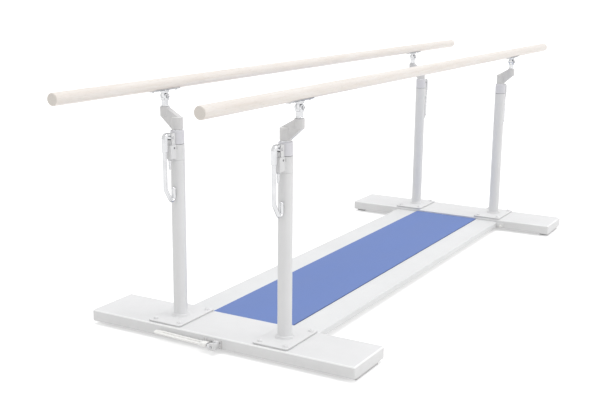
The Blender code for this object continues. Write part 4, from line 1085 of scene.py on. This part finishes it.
def build_inner_parts():
    """What slides inside the posts: inner tubes, gas springs and clamp shoes."""
    shoulder = ARM_BOTTOM - GAP
    for corner in CORNERS:
        lowest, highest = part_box(f"inner_tube_{corner}")
        tube = turned([(0.0145, lowest.z), (0.0165, lowest.z), (0.017, lowest.z + 0.0005),
                       (0.017, shoulder - 0.0005), (0.0165, shoulder), (0.008, shoulder),
                       (0.008, highest.z - 0.001), (0.007, highest.z), (0, highest.z),
                       (0, shoulder - 0.012), (0.0145, shoulder - 0.012)], ROUND)
        make(f"slide_tube_{corner}", f"lift_{corner}", f"inner_tube_{corner}",
             ("bright_chrome", tube), place=at_post(corner))
        dress("black_enamel", f"gas_spring_cylinder_{corner}")
        dress("zinc_plate", f"gas_spring_rod_{corner}", f"clamp_shoe_{corner}")


def seen_rays(tree):
    """One for rays from the camera, also in a mirror or through glass."""
    ray = add(tree, "ShaderNodeLightPath").outputs
    direct = maths(tree, "MAXIMUM", ray["Is Camera Ray"], ray["Is Transmission Ray"])
    return maths(tree, "MAXIMUM", direct, ray["Is Glossy Ray"])


def seen_as(tree, lit, seen, end="Material Output"):
    """Joins the tree's output to a shader that lights the object, and one that is seen."""
    mix = add(tree, "ShaderNodeMixShader", {
        0: seen_rays(tree), 1: lit.outputs[0], 2: seen.outputs[0]})
    tree.links.new(mix.outputs[0], tree.nodes[end].inputs["Surface"])


def build_stage(studio):
    """Floor, sky, lamps and the camera at the photograph's viewing angle."""
    scene = bpy.context.scene
    scene.view_settings.view_transform = "Standard"
    reach, level = 60.0, -0.0002
    plate = bpy.data.meshes.new("studio_floor")
    plate.from_pydata([(x, y, level) for x, y in (
        (-reach, -reach), (reach, -reach), (reach, reach), (-reach, reach))], [], [(0, 1, 2, 3)])
    floor = bpy.data.objects.new("studio_floor", plate)
    scene.collection.objects.link(floor)
    cloth = bpy.data.materials.new("studio_floor")
    cloth.use_nodes = True
    tree = cloth.node_tree
    plain = tree.nodes["Principled BSDF"]
    dull = {"Roughness": 0.9, "Specular IOR Level": 0.1}
    for name, value in {"Base Color": (0.86, 0.855, 0.84, 1), **dull}.items():
        plain.inputs[name].default_value = value
    seen_as(tree, plain, add(tree, "ShaderNodeBsdfPrincipled", {
        "Base Color": (0.66, 0.66, 0.66, 1), **dull,
        "Emission Color": (1, 1, 1, 1), "Emission Strength": 0.54}))
    plate.materials.append(cloth)

    scene.world = world = bpy.data.worlds.new("studio_sky")
    world.use_nodes = True
    sky = world.node_tree.nodes["Background"]
    sky.inputs["Color"].default_value = (0.985, 0.99, 1.0, 1)
    sky.inputs["Strength"].default_value = studio.sky
    seen_as(world.node_tree, sky, add(world.node_tree, "ShaderNodeBackground", {
        "Color": (1, 1, 1, 1), "Strength": 1.0}), "World Output")

    for name, energy, direction, angle in (("top_lamp", studio.top, (0.02, 0.02, 1.0), 50),
                                           ("side_lamp", studio.side, (0.90, 0.40, 0.35), 35),
                                           ("front_lamp", studio.front, (0.1, -1.0, 0.5), 60)):
        lamp = bpy.data.lights.new(name, "SUN")
        lamp.energy, lamp.angle = energy, math.radians(angle)
        holder = bpy.data.objects.new(name, lamp)
        holder.rotation_euler = Vector(direction).to_track_quat("Z", "Y").to_euler()
        scene.collection.objects.link(holder)

    # The photograph's camera: its eye, its right, up and back, and its lens in mm
    eye, focal_length, sensor_width = (1.6969, -3.5231, 1.1610), 59.284, 36.0
    axes = (0.8676, 0.4972, 0.0091), (-0.1215, 0.1942, 0.9734), (0.4822, -0.8456, 0.2289)
    lens = bpy.data.cameras.new("photo_camera")
    lens.sensor_width, lens.sensor_fit, lens.lens = sensor_width, "HORIZONTAL", focal_length
    lens.clip_start, lens.clip_end = 0.05, 200
    camera = bpy.data.objects.new("photo_camera", lens)
    turn = Matrix(axes).transposed().to_quaternion().to_matrix().to_4x4()
    camera.matrix_world = Matrix.Translation(eye) @ turn
    scene.collection.objects.link(camera)
    scene.camera = camera


# The add-on

class WALKBARS_OT_finishes(bpy.types.Operator):
    """Makes the finishes and the node trees that the pieces use"""
    bl_idname = "walkbars.finishes"
    bl_label = "Finishes"

    def execute(self, context):
        make_finishes(context.scene.walkbars_colours)
        make_trees()
        return {"FINISHED"}


class WALKBARS_OT_platform(bpy.types.Operator):
    """Makes the cross beams, the floor pads, the board and its mat"""
    bl_idname = "walkbars.platform"
    bl_label = "Platform"

    def execute(self, context):
        build_platform(context.scene.walkbars_sizes)
        return {"FINISHED"}


class WALKBARS_OT_posts(bpy.types.Operator):
    """Makes the posts with their plates, bolts and welds"""
    bl_idname = "walkbars.posts"
    bl_label = "Posts"

    def execute(self, context):
        build_posts(context.scene.walkbars_sizes)
        return {"FINISHED"}


class WALKBARS_OT_locks(bpy.types.Operator):
    """Makes the locks and guide collars on the posts"""
    bl_idname = "walkbars.locks"
    bl_label = "Locks"

    def execute(self, context):
        build_locks()
        return {"FINISHED"}


class WALKBARS_OT_levers(bpy.types.Operator):
    """Makes the release levers"""
    bl_idname = "walkbars.levers"
    bl_label = "Release Levers"

    def execute(self, context):
        build_levers()
        return {"FINISHED"}


class WALKBARS_OT_swivels(bpy.types.Operator):
    """Makes the crank arms, swivel forks, bolts and saddles"""
    bl_idname = "walkbars.swivels"
    bl_label = "Swivels"

    def execute(self, context):
        build_swivels()
        return {"FINISHED"}


class WALKBARS_OT_handrails(bpy.types.Operator):
    """Makes the wooden handrails and their screws"""
    bl_idname = "walkbars.handrails"
    bl_label = "Handrails"

    def execute(self, context):
        build_handrails(context.scene.walkbars_sizes)
        return {"FINISHED"}


class WALKBARS_OT_base_lever(bpy.types.Operator):
    """Makes the foot lever on the front beam and its bracket"""
    bl_idname = "walkbars.base_lever"
    bl_label = "Foot Lever"

    def execute(self, context):
        build_base_lever()
        return {"FINISHED"}


class WALKBARS_OT_inner_parts(bpy.types.Operator):
    """Makes the tubes, gas springs and clamp shoes inside the posts"""
    bl_idname = "walkbars.inner_parts"
    bl_label = "Inner Parts"

    def execute(self, context):
        build_inner_parts()
        return {"FINISHED"}


class WALKBARS_OT_stage(bpy.types.Operator):
    """Makes the floor, the light and the camera"""
    bl_idname = "walkbars.stage"
    bl_label = "Stage"

    def execute(self, context):
        build_stage(context.scene.walkbars_studio)
        return {"FINISHED"}


OPERATORS = (WALKBARS_OT_finishes, WALKBARS_OT_platform, WALKBARS_OT_posts, WALKBARS_OT_locks,
             WALKBARS_OT_levers, WALKBARS_OT_swivels, WALKBARS_OT_handrails,
             WALKBARS_OT_base_lever, WALKBARS_OT_inner_parts, WALKBARS_OT_stage)


class WALKBARS_PT_panel(bpy.types.Panel):
    """Lists the makers of the pieces with their sizes and colours"""
    bl_idname = "WALKBARS_PT_panel"
    bl_label = "Walking Bars"
    bl_space_type = "VIEW_3D"
    bl_region_type = "UI"
    bl_category = "Walking Bars"

    def draw(self, context):
        for owner in (context.scene.walkbars_colours, context.scene.walkbars_sizes,
                      context.scene.walkbars_studio):
            box = self.layout.box()
            for name in owner.__annotations__:
                box.prop(owner, name)
        for operator in OPERATORS:
            self.layout.operator(operator.bl_idname)


GROUPS = {"walkbars_colours": WalkingBarsColours, "walkbars_sizes": WalkingBarsSizes,
          "walkbars_studio": WalkingBarsStudio}


def register():
    """Registers the classes, and the settings of each scene."""
    for kind in (*GROUPS.values(), *OPERATORS, WALKBARS_PT_panel):
        bpy.utils.register_class(kind)
    for name, kind in GROUPS.items():
        setattr(bpy.types.Scene, name, bpy.props.PointerProperty(type=kind))


def unregister():
    """Takes the settings and the classes away again."""
    for name in GROUPS:
        delattr(bpy.types.Scene, name)
    for kind in (WALKBARS_PT_panel, *reversed(OPERATORS), *reversed(GROUPS.values())):
        bpy.utils.unregister_class(kind)


def main():
    """Builds everything."""
    register()
    for operator in OPERATORS:
        group, name = operator.bl_idname.split(".")
        getattr(getattr(bpy.ops, group), name)()


if __name__ == "__main__":
    main()
